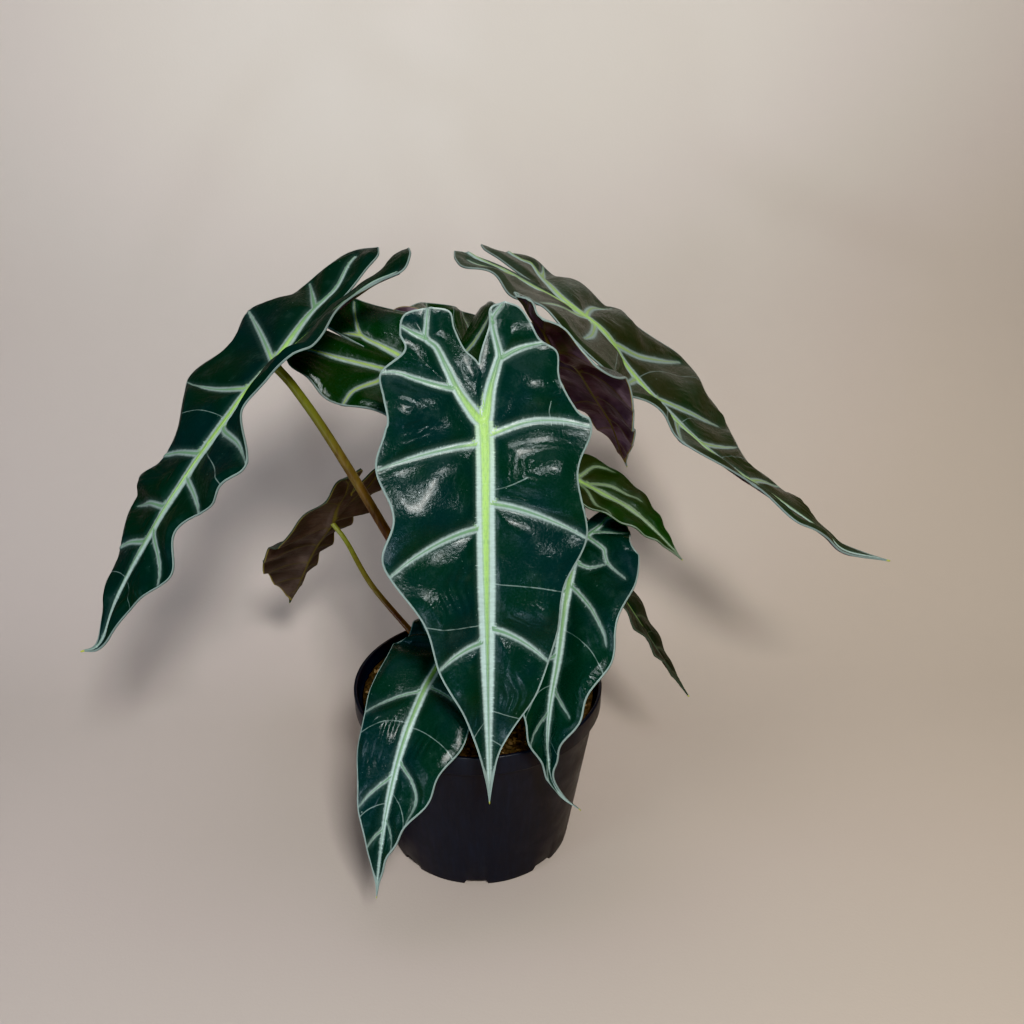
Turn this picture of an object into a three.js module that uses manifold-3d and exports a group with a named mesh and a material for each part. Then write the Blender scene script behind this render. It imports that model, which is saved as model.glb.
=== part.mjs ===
// A potted Alocasia: ten arrow-shaped leaves on stalks that stand in the soil of a black nursery pot.
// Millimetres, +Z up, +Y away from the front leaf, origin on the floor at the pot's axis.
import * as THREE from "three";
import Module from "manifold-3d";

const wasm = await Module();
wasm.setup();
const { Manifold, CrossSection } = wasm;

// Driving dimensions.
const GAP = 0.3; // between pieces that touch
const POT = {
  height: 88,
  rimRadius: 60,
  rimBand: 10,
  underRimRadius: 57.4,
  baseRadius: 45,
  wall: 1.2,
  footHeight: 3,
  footWidth: 6,
  floor: 1.4,
  padRadius: 16,
  notches: 8,
  notchWidth: 11,
  notchHeight: 2.5,
  notchTurn: -3,
  sides: 60,
};
const SOIL = { top: 77, bump: 1.6, sectors: 44, rings: 9 };
const HOLE_DEPTH = 15;
const BLADE = 0.8; // thickness of a blade
const RIB = 2.4; // depth of the midrib under the blade, at the stalk

// Flat outline of half a blade, from the tip of its lobe to the tip of the leaf.
// Each rib runs from the inner edge or midrib to the margin: [inner v, margin x, margin v, inner x].
// v runs from -1 at the lobe's end through 0 at the stalk to 1 at the tip. x is in blade lengths.
const RIBS = [
  [-1.0, 0.095, -1.0, 0.095],
  [-0.93, 0.14, -0.93, 0.058],
  [-0.8, 0.172, -0.76, 0.036],
  [-0.66, 0.188, -0.58, 0.016],
  [-0.5, 0.212, -0.38, 0],
  [-0.3, 0.245, -0.16, 0],
  [-0.1, 0.27, 0.02, 0],
  [0.09, 0.27, 0.15, 0],
  [0.23, 0.252, 0.3, 0],
  [0.38, 0.215, 0.45, 0],
  [0.54, 0.165, 0.6, 0],
  [0.69, 0.105, 0.74, 0],
  [0.82, 0.05, 0.85, 0],
  [0.92, 0.018, 0.93, 0],
  [1.0, 0.005, 1.0, 0],
];
const SINUS_RIB = 4; // the first rib that starts on the midrib
const CLOSED_SINUS = 0.2; // width of a nearly closed gap between the lobes, as a share of the usual gap
const CLOSED_RIBS = RIBS.map(([v0, x1, v1, x0], rib) => [v0, x1, v1, rib === 0 ? x0 : CLOSED_SINUS * x0]);
// Where the side veins meet the margin, on each side. The margin bulges there.
const VEIN_ENDS = [
  [-0.6, 0.02, 0.28, 0.5, 0.68, 0.84],
  [-0.52, 0.12, 0.38, 0.59, 0.76, 0.9],
];

// The front blade faces the camera, so each of its halves has an outline of its own.
const FRONT_RIBS = [
  [
    [-1, 0.1, -1, 0.1],
    [-0.95, 0.165, -0.96, 0.055],
    [-0.8, 0.183, -0.8, 0.048],
    [-0.63, 0.177, -0.66, 0.03],
    [-0.5, 0.238, -0.5, 0],
    [-0.3, 0.24, -0.27, 0],
    [-0.11, 0.236, -0.03, 0],
    [0.03, 0.266, 0.108, 0],
    [0.14, 0.227, 0.225, 0],
    [0.25, 0.252, 0.335, 0],
    [0.38, 0.16, 0.483, 0],
    [0.52, 0.121, 0.621, 0],
    [0.66, 0.062, 0.74, 0],
    [0.84, 0.02, 0.88, 0],
    [1, 0.005, 1, 0],
  ],
  [
    [-1, 0.08, -1, 0.08],
    [-0.95, 0.115, -0.935, 0.042],
    [-0.8, 0.136, -0.8, 0.034],
    [-0.63, 0.155, -0.655, 0.012],
    [-0.5, 0.196, -0.53, 0],
    [-0.3, 0.193, -0.3, 0],
    [-0.11, 0.23, -0.06, 0],
    [0.03, 0.264, 0.022, 0],
    [0.14, 0.225, 0.125, 0],
    [0.25, 0.25, 0.28, 0],
    [0.38, 0.191, 0.405, 0],
    [0.52, 0.174, 0.53, 0],
    [0.66, 0.122, 0.681, 0],
    [0.84, 0.03, 0.84, 0],
    [1, 0.005, 1, 0],
  ],
];

// The left leaf's own outline.
const LEFT_RIBS = [
  [
    [-1.0, 0.1, -1.0, 0.1],
    [-0.93, 0.175, -0.93, 0.058],
    [-0.8, 0.175, -0.76, 0.036],
    [-0.66, 0.222, -0.58, 0.016],
    [-0.5, 0.22, -0.44, 0],
    [-0.32, 0.262, -0.22, 0],
    [-0.08, 0.225, 0.0, 0],
    [0.07, 0.28, 0.12, 0],
    [0.2, 0.15, 0.3, 0],
    [0.36, 0.185, 0.45, 0],
    [0.49, 0.205, 0.57, 0],
    [0.62, 0.12, 0.66, 0],
    [0.73, 0.1, 0.76, 0],
    [0.86, 0.035, 0.87, 0],
    [1.0, 0.005, 1.0, 0],
  ],
  [
    [-1.0, 0.09, -1.0, 0.09],
    [-0.93, 0.15, -0.93, 0.058],
    [-0.8, 0.18, -0.8, 0.036],
    [-0.66, 0.11, -0.66, 0.016],
    [-0.5, 0.16, -0.42, 0],
    [-0.3, 0.24, -0.2, 0],
    [-0.1, 0.26, -0.02, 0],
    [0.05, 0.17, 0.08, 0],
    [0.13, 0.07, 0.16, 0],
    [0.2, 0.22, 0.25, 0],
    [0.34, 0.19, 0.36, 0],
    [0.46, 0.11, 0.5, 0],
    [0.56, 0.165, 0.6, 0],
    [0.8, 0.075, 0.8, 0],
    [1.0, 0.005, 1.0, 0],
  ],
];
// The right leaf's own outline.
const RIGHT_RIBS = [
  [
    [-1.0, 0.095, -1.0, 0.095],
    [-0.93, 0.14, -0.93, 0.058],
    [-0.8, 0.175, -0.8, 0.036],
    [-0.64, 0.15, -0.64, 0.016],
    [-0.5, 0.2, -0.44, 0],
    [-0.27, 0.25, -0.2, 0],
    [-0.03, 0.25, 0.04, 0],
    [0.15, 0.21, 0.21, 0],
    [0.27, 0.12, 0.31, 0],
    [0.38, 0.165, 0.42, 0],
    [0.52, 0.12, 0.53, 0],
    [0.62, 0.06, 0.63, 0],
    [0.72, 0.1, 0.74, 0],
    [0.86, 0.035, 0.87, 0],
    [1.0, 0.005, 1.0, 0],
  ],
  [
    [-1.0, 0.09, -1.0, 0.09],
    [-0.93, 0.12, -0.93, 0.055],
    [-0.8, 0.15, -0.8, 0.034],
    [-0.66, 0.21, -0.65, 0.015],
    [-0.5, 0.225, -0.45, 0],
    [-0.3, 0.2, -0.22, 0],
    [-0.08, 0.22, 0.0, 0],
    [0.06, 0.165, 0.1, 0],
    [0.13, 0.31, 0.21, 0],
    [0.27, 0.235, 0.32, 0],
    [0.35, 0.265, 0.4, 0],
    [0.52, 0.105, 0.55, 0],
    [0.64, 0.15, 0.66, 0],
    [0.82, 0.055, 0.83, 0],
    [1.0, 0.005, 1.0, 0],
  ],
];
// The leaves. path: the lobes' end, the stalk's top, then the midrib to the tip.
// roll turns the blade about its midrib, and twist adds to it at each point of the path, in degrees.
// fold lifts each half at each point of the path. width is each half's share of the usual width.
const LEAVES = [
  {
    name: "left",
    path: [[-32, 34, 288], [-83, -5, 251], [-102, -22, 232], [-127, -36, 200], [-149, -42, 165], [-160, -44, 141], [-168, -46, 138]],
    twist: [9, 13, 12, 8, 8, -3, 0],
    fold: [[7, 16, 14, 2, 0, 12, 0], [7, 14, -2, -12, -11, 6, 0]],
    width: [1, 1],
    wave: 2.5,
    scallop: 0,
    ribs: LEFT_RIBS,
    ends: [[-0.55, 0.1, 0.42, 0.56, 0.75, 0.87], [-0.8, -0.1, 0.26, 0.4, 0.6, 0.8]],
    foot: [-11, -2],
    stalk: [[-24, 6, 128], [-43, 4, 172], [-63, 1, 215]],
    radius: [4.2, 2.8],
  },
  {
    name: "front",
    path: [[0, -18, 279], [4, -38, 236], [4, -56, 196], [4, -68, 150], [4, -76, 110], [4, -79, 79]],
    fold: [[0, 5, 5, 5, 10, 30], [0, 5, 5, 5, 10, 30]],
    width: [1, 1],
    wave: 2,
    scallop: 0,
    ribs: FRONT_RIBS,
    ends: [[-0.5, 0.11, 0.34, 0.62, 0.78, 0.9], [-0.55, 0.02, 0.285, 0.6, 0.76, 0.88]],
    foot: [1, -4],
    stalk: [[9, -3, 125], [7, -6, 200]],
    radius: [4.2, 2.9],
  },
  {
    name: "right",
    path: [[-1, 92, 278], [56, 64, 249], [74, 57, 227], [93, 44, 208], [115, 26, 192], [139, 10, 179], [160, -1, 166], [169, -6, 159], [189, -10, 155]],
    twist: [-6, -11, -6, -11, -12, -12, -14, -8, 0],
    fold: [[-3, 1, 1, 3, 1, -2, -4, 5, 0], [-3, 4, 12, 15, 8, 3, -2, 5, 0]],
    width: [0.95, 0.98],
    wave: 2.5,
    scallop: 0,
    ribs: RIGHT_RIBS,
    ends: [[-0.44, 0.04, 0.21, 0.42, 0.74, 0.87], [-0.5, -0.02, 0.21, 0.4, 0.66, 0.84]],
    foot: [6, 13],
    stalk: [[8, 22, 150], [27, 44, 212], [46, 62, 232]],
    seat: 0.4,
    radius: [4.2, 2.9],
  },
  {
    name: "back_left",
    path: [[-77, 30, 262], [-22, 40, 230], [-10, 70, 228], [4, 100, 224], [19, 128, 217], [33, 150, 205]],
    roll: 25,
    twist: [0, 0, -30, -30, -30, -30],
    fold: [[-33, -6, 65, 65, 55, 20], [20, 25, 45, 45, 40, 20]],
    width: [[1.4, 1.25, 1, 1, 1, 1], 1],
    wave: 2.5,
    scallop: 0.06,
    ribs: [CLOSED_RIBS, CLOSED_RIBS],
    foot: [-5, 9],
    stalk: [[-7, 16, 140], [-15, 26, 200]],
    seat: 0.1,
    radius: [4, 2.7],
  },
  {
    name: "back_right",
    path: [[17, 8, 275], [36, 4, 252], [46, 12, 243], [56, 26, 225], [67, 40, 204], [76, 56, 175]],
    fold: [[10, 22, 17, 8, 0, 0], [10, 10, -5, -15, -25, -10]],
    width: [1, [1, 1, 1, 1.3, 1.3, 1]],
    wave: 2,
    scallop: 0.06,
    foot: [12, 2],
    stalk: [[16, 9, 140], [22, 14, 205]],
    seat: 0.2,
    radius: [3.6, 2.4],
  },
  {
    name: "small_right",
    path: [[32, 10, 204], [44, 0, 195], [55, -8, 191], [67, -16, 187], [78, -22, 179], [90, -26, 166]],
    fold: [[5, 5, 5, 0, 0, 5], [10, 15, 12, 5, 0, 5]],
    width: [1, 1],
    wave: 1,
    scallop: 0.03,
    foot: [17, -9],
    stalk: [[24, 2, 120], [36, 8, 165]],
    radius: [2.6, 1.8],
    small: true,
  },
  {
    name: "low_right",
    path: [[53, 0, 181], [44, -22, 172], [38, -42, 157], [34, -54, 134], [30, -62, 112], [30, -66, 88], [35, -69, 75], [44, -72, 68]],
    fold: [[10, 10, 20, 35, 60, 80, 80, 0], [0, 0, 10, 20, 35, 45, 45, 0]],
    width: [[0.45, 0.6, 0.75, 0.8, 0.8, 0.8, 0.8, 0.8], 0.8],
    wave: 1.5,
    scallop: 0.05,
    foot: [7, -15],
    stalk: [[11, -14, 110], [28, -12, 150]],
    radius: [3.2, 2.2],
  },
  {
    name: "low_left",
    path: [[-17, 0, 125], [-14, -20, 121], [-24, -44, 113], [-32, -60, 100], [-38, -70, 82], [-43, -78, 57], [-46, -84, 32]],
    fold: [[0, 0, 0, 5, 10, 40, 30], [0, 0, 0, 5, 10, 40, 30]],
    width: [0.72, [0.74, 0.8, 0.85, 0.88, 0.9, 0.85, 0.8]],
    wave: 1.5,
    scallop: 0.04,
    foot: [-9, -14],
    stalk: [[-10, -14, 90], [-12, -15, 102]],
    radius: [3, 2.2],
  },
  {
    name: "low_back",
    path: [[41, 30, 170], [50, 22, 155], [62, 14, 139], [75, 8, 120], [87, 2, 102], [103, -4, 78]],
    roll: -25,
    fold: [[4, 4, 4, 4, 4, 4], [4, 4, 4, 4, 4, 4]],
    width: [1, 1],
    wave: 1,
    scallop: 0.04,
    foot: [22, 8],
    stalk: [[26, 10, 110], [36, 14, 135]],
    radius: [2.8, 1.9],
    small: true,
  },
  {
    name: "small_left",
    path: [[-49, 44, 184], [-74, 60, 146], [-87, 76, 122], [-97, 90, 98], [-107, 102, 73]],
    fold: [[-18, -6, 6, 10, 14], [2, 8, 18, 28, 30]],
    width: [1, [1, 1, 1.2, 1.5, 1.6]],
    wave: 2,
    scallop: 0.03,
    foot: [-19, 8],
    stalk: [[-28, 14, 100], [-52, 34, 122]],
    radius: [2.4, 1.5],
    small: true,
  },
];

const rad = (degrees) => (degrees * Math.PI) / 180;
const clamp = (x, low, high) => Math.min(high, Math.max(low, x));
const vec = (p) => new THREE.Vector3(...p);

// A smooth curve through rows of numbers, at place u counted in rows.
function smooth(rows, u) {
  const last = rows.length - 1;
  const i = Math.min(Math.floor(clamp(u, 0, last)), last - 1);
  const f = clamp(u, 0, last) - i;
  const row = (j) => {
    if (j < 0) return rows[0].map((x, k) => 2 * x - rows[1][k]);
    if (j > last) return rows[last].map((x, k) => 2 * x - rows[last - 1][k]);
    return rows[j];
  };
  const [a, b, c, d] = [row(i - 1), row(i), row(i + 1), row(i + 2)];
  return b.map((_, k) => {
    const slope = c[k] - a[k];
    const bend = 2 * a[k] - 5 * b[k] + 4 * c[k] - d[k];
    const cubic = 3 * b[k] - a[k] - 3 * c[k] + d[k];
    return 0.5 * (2 * b[k] + slope * f + bend * f * f + cubic * f * f * f);
  });
}

// Straight lines between known places.
function between(x, xs, ys) {
  if (x <= xs[0]) return ys[0];
  for (let i = 1; i < xs.length; i++) {
    if (x <= xs[i]) return ys[i - 1] + ((ys[i] - ys[i - 1]) * (x - xs[i - 1])) / (xs[i] - xs[i - 1]);
  }
  return ys[ys.length - 1];
}

// The midrib's curve with a frame carried along it: t forward, n out of the top face, s to side 0.
function spineOf(leaf) {
  const steps = 40;
  const count = leaf.path.length;
  const points = [];
  for (let i = 0; i <= steps * (count - 1); i++) points.push(vec(smooth(leaf.path, i / steps)));
  const run = [0];
  for (let i = 1; i < points.length; i++) run.push(run[i - 1] + points[i].distanceTo(points[i - 1]));
  const lobe = run[steps];
  const length = run[run.length - 1] - lobe;
  const v = run.map((r) => (r < lobe ? (r - lobe) / lobe : (r - lobe) / length));
  const knots = leaf.path.map((_, i) => v[i * steps]);
  const t = points.map((_, i) => {
    const ahead = points[Math.min(i + 1, points.length - 1)];
    return ahead.clone().sub(points[Math.max(i - 1, 0)]).normalize();
  });
  const n = [];
  n[steps] = new THREE.Vector3(0, 0, 1).addScaledVector(t[steps], -t[steps].z).normalize();
  n[steps].applyAxisAngle(t[steps], rad(leaf.roll ?? 0));
  const carry = (i, from) => {
    n[i] = n[from].clone().addScaledVector(t[i], -n[from].dot(t[i])).normalize();
  };
  for (let i = steps + 1; i < points.length; i++) carry(i, i - 1);
  for (let i = steps - 1; i >= 0; i--) carry(i, i + 1);
  if (leaf.twist) n.forEach((x, i) => x.applyAxisAngle(t[i], rad(between(v[i], knots, leaf.twist))));
  const s = t.map((x, i) => x.clone().cross(n[i]));
  const at = (list, place) => {
    const xs = [0, 1, 2].map((k) => between(place, v, list.map((p) => p.getComponent(k))));
    return vec(xs);
  };
  const frames = new Map();
  const frame = (place) => {
    const key = place.toFixed(5);
    if (!frames.has(key)) {
      frames.set(key, { c: at(points, place), n: at(n, place).normalize(), s: at(s, place).normalize() });
    }
    return frames.get(key);
  };
  return { length, knots, frame };
}

// Place among the side veins: whole numbers at a vein's end, halves between two veins.
function veinPlace(v, ends) {
  const xs = [ends[0] - 0.45, ...ends, 1.05];
  return between(v, xs, xs.map((_, i) => i - 1));
}

// A point of the blade's middle surface. a counts ribs, t runs from midrib to margin.
function bladePoint(leaf, spine, side, a, t) {
  const [v0, x1, v1, x0] = smooth(leaf.ribs?.[side] ?? RIBS, a);
  const ends = (leaf.ends ?? VEIN_ENDS)[side];
  const swell = clamp((0.95 - v1) / 0.3, 0, 1) * clamp((v1 + 1) / 0.3, 0, 1);
  const margin = x1 * (1 + leaf.scallop * Math.cos(2 * Math.PI * veinPlace(v1, ends)) * swell);
  const x = x0 + (margin - x0) * t;
  const v = v0 + (v1 - v0) * t;
  const { c, n, s } = spine.frame(v);
  const sign = side === 0 ? 1 : -1;
  const w = leaf.width[side];
  const share = Array.isArray(w) ? between(v, spine.knots, w) : w;
  const fold = rad(between(v, spine.knots, leaf.fold[side]));
  const out = s.clone().multiplyScalar(sign * Math.cos(fold)).addScaledVector(n, Math.sin(fold));
  const up = n.clone().multiplyScalar(Math.cos(fold)).addScaledVector(s, -sign * Math.sin(fold));
  const fade = clamp((1 - v) / 0.25, 0, 1);
  const rel = clamp(x * 3.7, 0, 1);
  const beat = Math.cos(2 * Math.PI * veinPlace(v, ends));
  const lift = -leaf.wave * rel ** 1.6 * beat + Math.sin(Math.PI * rel) * (0.5 - 0.5 * beat);
  return c.clone().addScaledVector(out, x * spine.length * share).addScaledVector(up, lift * fade);
}

// A closed shell from a surface given as triangles over paired top and bottom points.
function shell(top, bottom, triangles) {
  const faces = [];
  const edges = new Map();
  const m = top.length;
  for (const [a, b, c] of triangles) {
    faces.push([a, b, c], [m + a, m + c, m + b]);
    for (const [p, q] of [[a, b], [b, c], [c, a]]) edges.set(`${p},${q}`, [p, q]);
  }
  for (const [p, q] of edges.values()) {
    if (!edges.has(`${q},${p}`)) faces.push([p, m + p, m + q], [p, m + q, q]);
  }
  return geometry([...top, ...bottom], faces);
}

function geometry(points, faces) {
  const g = new THREE.BufferGeometry();
  g.setAttribute("position", new THREE.Float32BufferAttribute(points.flatMap((p) => p.toArray()), 3));
  g.setIndex(faces.flat());
  return g.toNonIndexed();
}

function bladeGeometry(leaf) {
  const spine = spineOf(leaf);
  const rows = leaf.small ? 21 : 29;
  const columns = [0, 0.1, 0.4, 0.7, 1];
  const last = RIBS.length - 1;
  const top = [];
  const bottom = [];
  const ids = [[], []];
  const place = (r) => (last * r) / (rows - 1);
  const joined = (r) => place(r) >= SINUS_RIB;
  for (let r = 0; r < rows; r++) {
    const a = place(r);
    for (const side of [0, 1]) {
      ids[side].push([]);
      columns.forEach((t, k) => {
        if (k === 0 && side === 1 && joined(r)) {
          ids[1][r].push(ids[0][r][0]);
          return;
        }
        const p = bladePoint(leaf, spine, side, a, t);
        const [v0] = smooth(leaf.ribs?.[side] ?? RIBS, a);
        let n = spine.frame(clamp(v0, -1, 1)).n.clone();
        let depth = BLADE / 2;
        if (k === 0 && joined(r)) {
          depth = (RIB - BLADE) * clamp(1 - Math.abs(v0), 0, 1) + BLADE / 2;
        } else {
          const [a0, a1] = [Math.max(a - 0.2, 0), Math.min(a + 0.2, last)];
          const [t0, t1] = [Math.max(t - 0.08, 0), Math.min(t + 0.08, 1)];
          const along = bladePoint(leaf, spine, side, a1, t).sub(bladePoint(leaf, spine, side, a0, t));
          const across = bladePoint(leaf, spine, side, a, t1).sub(bladePoint(leaf, spine, side, a, t0));
          const m = along.cross(across).normalize();
          n = m.dot(n) < 0 ? m.negate() : m;
        }
        ids[side][r].push(top.length);
        top.push(p.clone().addScaledVector(n, BLADE / 2));
        bottom.push(p.clone().addScaledVector(n, -depth));
      });
    }
  }
  const triangles = [];
  for (let r = 0; r + 1 < rows; r++) {
    for (const side of [0, 1]) {
      for (let k = 0; k + 1 < columns.length; k++) {
        const [a, b] = [ids[side][r][k], ids[side][r][k + 1]];
        const [c, d] = [ids[side][r + 1][k + 1], ids[side][r + 1][k]];
        if (side === 0) triangles.push([a, b, c], [a, c, d]);
        else triangles.push([a, c, b], [a, d, c]);
      }
    }
  }
  return { mesh: shell(top, bottom, triangles), spine };
}

// A stalk: a round bar of changing radius along a curve, with its foot upright in the soil.
function stalkPath(leaf, spine) {
  const { c, n } = spine.frame(0);
  const reach = RIB - BLADE / 2 + GAP + (leaf.seat ?? 0);
  const end = c.clone().addScaledVector(n, -reach);
  const before = c.clone().addScaledVector(n, -reach - 12);
  const [x, y] = leaf.foot;
  const foot = SOIL.top - HOLE_DEPTH + GAP;
  const middle = leaf.stalk.map(vec);
  return [vec([x, y, foot]), vec([x, y, SOIL.top + 4]), ...middle, before, end];
}

function stalkGeometry(leaf, path) {
  const curve = path.map((p) => p.toArray());
  const spans = curve.length - 1;
  const sides = leaf.small ? 7 : 8;
  const places = [0, 1];
  for (let u = 1.25; u < spans - 0.01; u += leaf.small ? 0.5 : 0.34) places.push(u);
  places.push(spans);
  const [low, high] = leaf.radius;
  const points = [];
  let side = null;
  for (const u of places) {
    const c = u <= 1 ? path[u] : vec(smooth(curve, u));
    const ahead = vec(smooth(curve, Math.min(u + 0.02, spans)));
    const t = u <= 1 ? vec([0, 0, 1]) : ahead.sub(vec(smooth(curve, Math.max(u - 0.02, 0)))).normalize();
    side = (side ?? vec([1, 0, 0])).clone().addScaledVector(t, -(side ?? vec([1, 0, 0])).dot(t)).normalize();
    const other = t.clone().cross(side);
    const r = low + (high - low) * clamp((u - 1) / (spans - 2), 0, 1) ** 0.6;
    for (let k = 0; k < sides; k++) {
      const angle = (2 * Math.PI * k) / sides;
      const ring = c.clone().addScaledVector(side, r * Math.cos(angle));
      points.push(ring.addScaledVector(other, r * Math.sin(angle)));
    }
  }
  const faces = [];
  for (let i = 0; i + 1 < places.length; i++) {
    for (let k = 0; k < sides; k++) {
      const [a, b] = [i * sides + k, i * sides + ((k + 1) % sides)];
      faces.push([a, b, b + sides], [a, b + sides, a + sides]);
    }
  }
  const lastRing = (places.length - 1) * sides;
  for (let k = 1; k + 1 < sides; k++) {
    faces.push([0, k + 1, k], [lastRing, lastRing + k, lastRing + k + 1]);
  }
  return geometry(points, faces);
}

function fromSolid(solid) {
  const { vertProperties, triVerts, numProp } = solid.getMesh();
  const points = [];
  for (let i = 0; i < vertProperties.length; i += numProp) {
    points.push(vec([vertProperties[i], vertProperties[i + 1], vertProperties[i + 2]]));
  }
  const faces = [];
  for (let i = 0; i < triVerts.length; i += 3) faces.push([triVerts[i], triVerts[i + 1], triVerts[i + 2]]);
  return geometry(points, faces);
}

// Inside radius of the pot's wall at a height.
function insideRadius(z) {
  const shoulder = POT.height - POT.rimBand - 0.5;
  const slope = (POT.underRimRadius - POT.baseRadius) / shoulder;
  return POT.baseRadius + slope * z - POT.wall;
}

function potSolid() {
  const p = POT;
  const shoulder = p.height - p.rimBand;
  const floorTop = p.footHeight + p.floor;
  const profile = [
    [0, 0],
    [p.padRadius, 0],
    [p.padRadius + 1, p.footHeight],
    [p.baseRadius - p.footWidth, p.footHeight],
    [p.baseRadius - p.footWidth, 0],
    [p.baseRadius - 0.6, 0],
    [p.baseRadius, 0.6],
    [p.underRimRadius, shoulder - 0.5],
    [p.rimRadius - 0.5, shoulder],
    [p.rimRadius - 0.1, shoulder + 0.6],
    [p.rimRadius, p.height - 0.8],
    [p.rimRadius - 0.5, p.height],
    [p.rimRadius - 1.3, p.height],
    [p.rimRadius - 1.7, p.height - 0.8],
    [p.rimRadius - 1.9, shoulder + 1.6],
    [insideRadius(shoulder - 0.5), shoulder - 0.3],
    [insideRadius(floorTop + 1), floorTop + 1],
    [insideRadius(floorTop) - 1, floorTop],
    [0, floorTop],
  ];
  let pot = Manifold.revolve(new CrossSection([profile]), p.sides);
  for (let i = 0; i < p.notches; i++) {
    const cut = Manifold.cube([p.footWidth + 4, p.notchWidth, 2 * p.notchHeight], true)
      .translate([p.baseRadius - 1.2, 0, 0])
      .rotate([0, 0, (360 / p.notches) * i + p.notchTurn]);
    pot = pot.subtract(cut);
  }
  return pot;
}

// Height of the soil's rough top.
function soilTop(x, y) {
  const r = Math.hypot(x, y);
  const rough = Math.sin(0.41 * x + 1.3) * Math.cos(0.37 * y - 0.4) + 0.7 * Math.sin(0.83 * x - 0.61 * y);
  return SOIL.top + SOIL.bump * (0.5 + 0.35 * rough) * clamp((56 - r) / 6, 0, 1);
}

function soilSolid() {
  const floorTop = POT.footHeight + POT.floor + GAP;
  const rows = [];
  for (let i = 1; i <= SOIL.rings; i++) rows.push([(insideRadius(SOIL.top) - GAP - 0.1) * (i / SOIL.rings) ** 0.9, null]);
  rows.push([insideRadius(floorTop + 1) - GAP, floorTop + 1]);
  rows.push([insideRadius(floorTop + 1) - GAP - 1.4, floorTop]);
  const points = [vec([0, 0, soilTop(0, 0)])];
  for (const [r, z] of rows) {
    for (let k = 0; k < SOIL.sectors; k++) {
      const angle = (2 * Math.PI * k) / SOIL.sectors;
      const [x, y] = [r * Math.cos(angle), r * Math.sin(angle)];
      points.push(vec([x, y, z ?? soilTop(x, y)]));
    }
  }
  const n = SOIL.sectors;
  const faces = [];
  for (let k = 0; k < n; k++) {
    const next = (k + 1) % n;
    faces.push([0, 1 + k, 1 + next]);
    for (let i = 0; i + 1 < rows.length; i++) {
      const [a, b] = [1 + i * n + k, 1 + i * n + next];
      faces.push([a, a + n, b + n], [a, b + n, b]);
    }
  }
  const base = 1 + (rows.length - 1) * n;
  for (let k = 1; k + 1 < n; k++) faces.push([base, base + k + 1, base + k]);
  const mesh = new wasm.Mesh({
    numProp: 3,
    vertProperties: new Float32Array(points.flatMap((q) => q.toArray())),
    triVerts: new Uint32Array(faces.flat()),
  });
  let soil = new Manifold(mesh);
  for (const leaf of LEAVES) {
    const r = leaf.radius[0] + GAP;
    const hole = Manifold.cylinder(HOLE_DEPTH + 20, r, r, 16);
    soil = soil.subtract(hole.translate([leaf.foot[0], leaf.foot[1], SOIL.top - HOLE_DEPTH]));
  }
  return soil;
}

const LOOKS = {
  pot: { color: "#1b1b1c", roughness: 0.6 },
  soil: { color: "#3a2a1e", roughness: 0.95 },
  blade: { color: "#123524", roughness: 0.35 },
  young: { color: "#3f6a24", roughness: 0.4 },
  dull: { color: "#43362f", roughness: 0.55 },
  stalk: { color: "#6d7440", roughness: 0.5 },
  brownStalk: { color: "#5d4a3c", roughness: 0.5 },
};
const group = new THREE.Group();
group.name = "potted_alocasia_polly";
function add(name, geo, look) {
  geo.computeVertexNormals();
  const mesh = new THREE.Mesh(geo, new THREE.MeshStandardMaterial(LOOKS[look]));
  mesh.name = name;
  group.add(mesh);
}

add("pot", fromSolid(potSolid()), "pot");
add("soil", fromSolid(soilSolid()), "soil");
for (const leaf of LEAVES) {
  const { mesh, spine } = bladeGeometry(leaf);
  const look = { small_right: "young", small_left: "dull", low_back: "dull" }[leaf.name] ?? "blade";
  add(`blade_${leaf.name}`, mesh, look);
  const stalk = stalkGeometry(leaf, stalkPath(leaf, spine));
  add(`petiole_${leaf.name}`, stalk, leaf.name === "small_right" ? "stalk" : "brownStalk");
}

export default group;
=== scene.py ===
import math
import random

import bmesh
import bpy
import numpy as np
from bpy.props import FloatProperty, FloatVectorProperty, IntProperty, PointerProperty
from mathutils import Matrix, Vector, noise


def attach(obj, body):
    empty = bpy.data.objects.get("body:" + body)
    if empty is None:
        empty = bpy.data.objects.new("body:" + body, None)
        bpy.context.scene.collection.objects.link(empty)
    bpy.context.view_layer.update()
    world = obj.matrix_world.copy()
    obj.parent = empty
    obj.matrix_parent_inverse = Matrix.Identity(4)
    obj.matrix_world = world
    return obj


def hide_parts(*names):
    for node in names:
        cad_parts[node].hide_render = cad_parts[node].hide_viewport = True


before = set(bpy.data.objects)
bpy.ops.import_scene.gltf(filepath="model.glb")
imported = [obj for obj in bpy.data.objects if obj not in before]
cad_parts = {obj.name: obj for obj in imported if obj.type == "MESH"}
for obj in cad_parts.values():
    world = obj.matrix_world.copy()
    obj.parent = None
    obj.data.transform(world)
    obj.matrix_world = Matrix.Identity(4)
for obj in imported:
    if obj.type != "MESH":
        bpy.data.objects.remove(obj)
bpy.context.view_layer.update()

bl_info = {
    "name": "Potted Alocasia",
    "version": (1, 0, 0),
    "blender": (4, 5, 0),
    "location": "View3D > Sidebar > Plant",
    "description": "Builds the blades, stalks, soil and pot of a potted Alocasia",
    "category": "Object",
}

MM = 0.001  # a millimetre in metres: the sizes below are in millimetres

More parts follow.
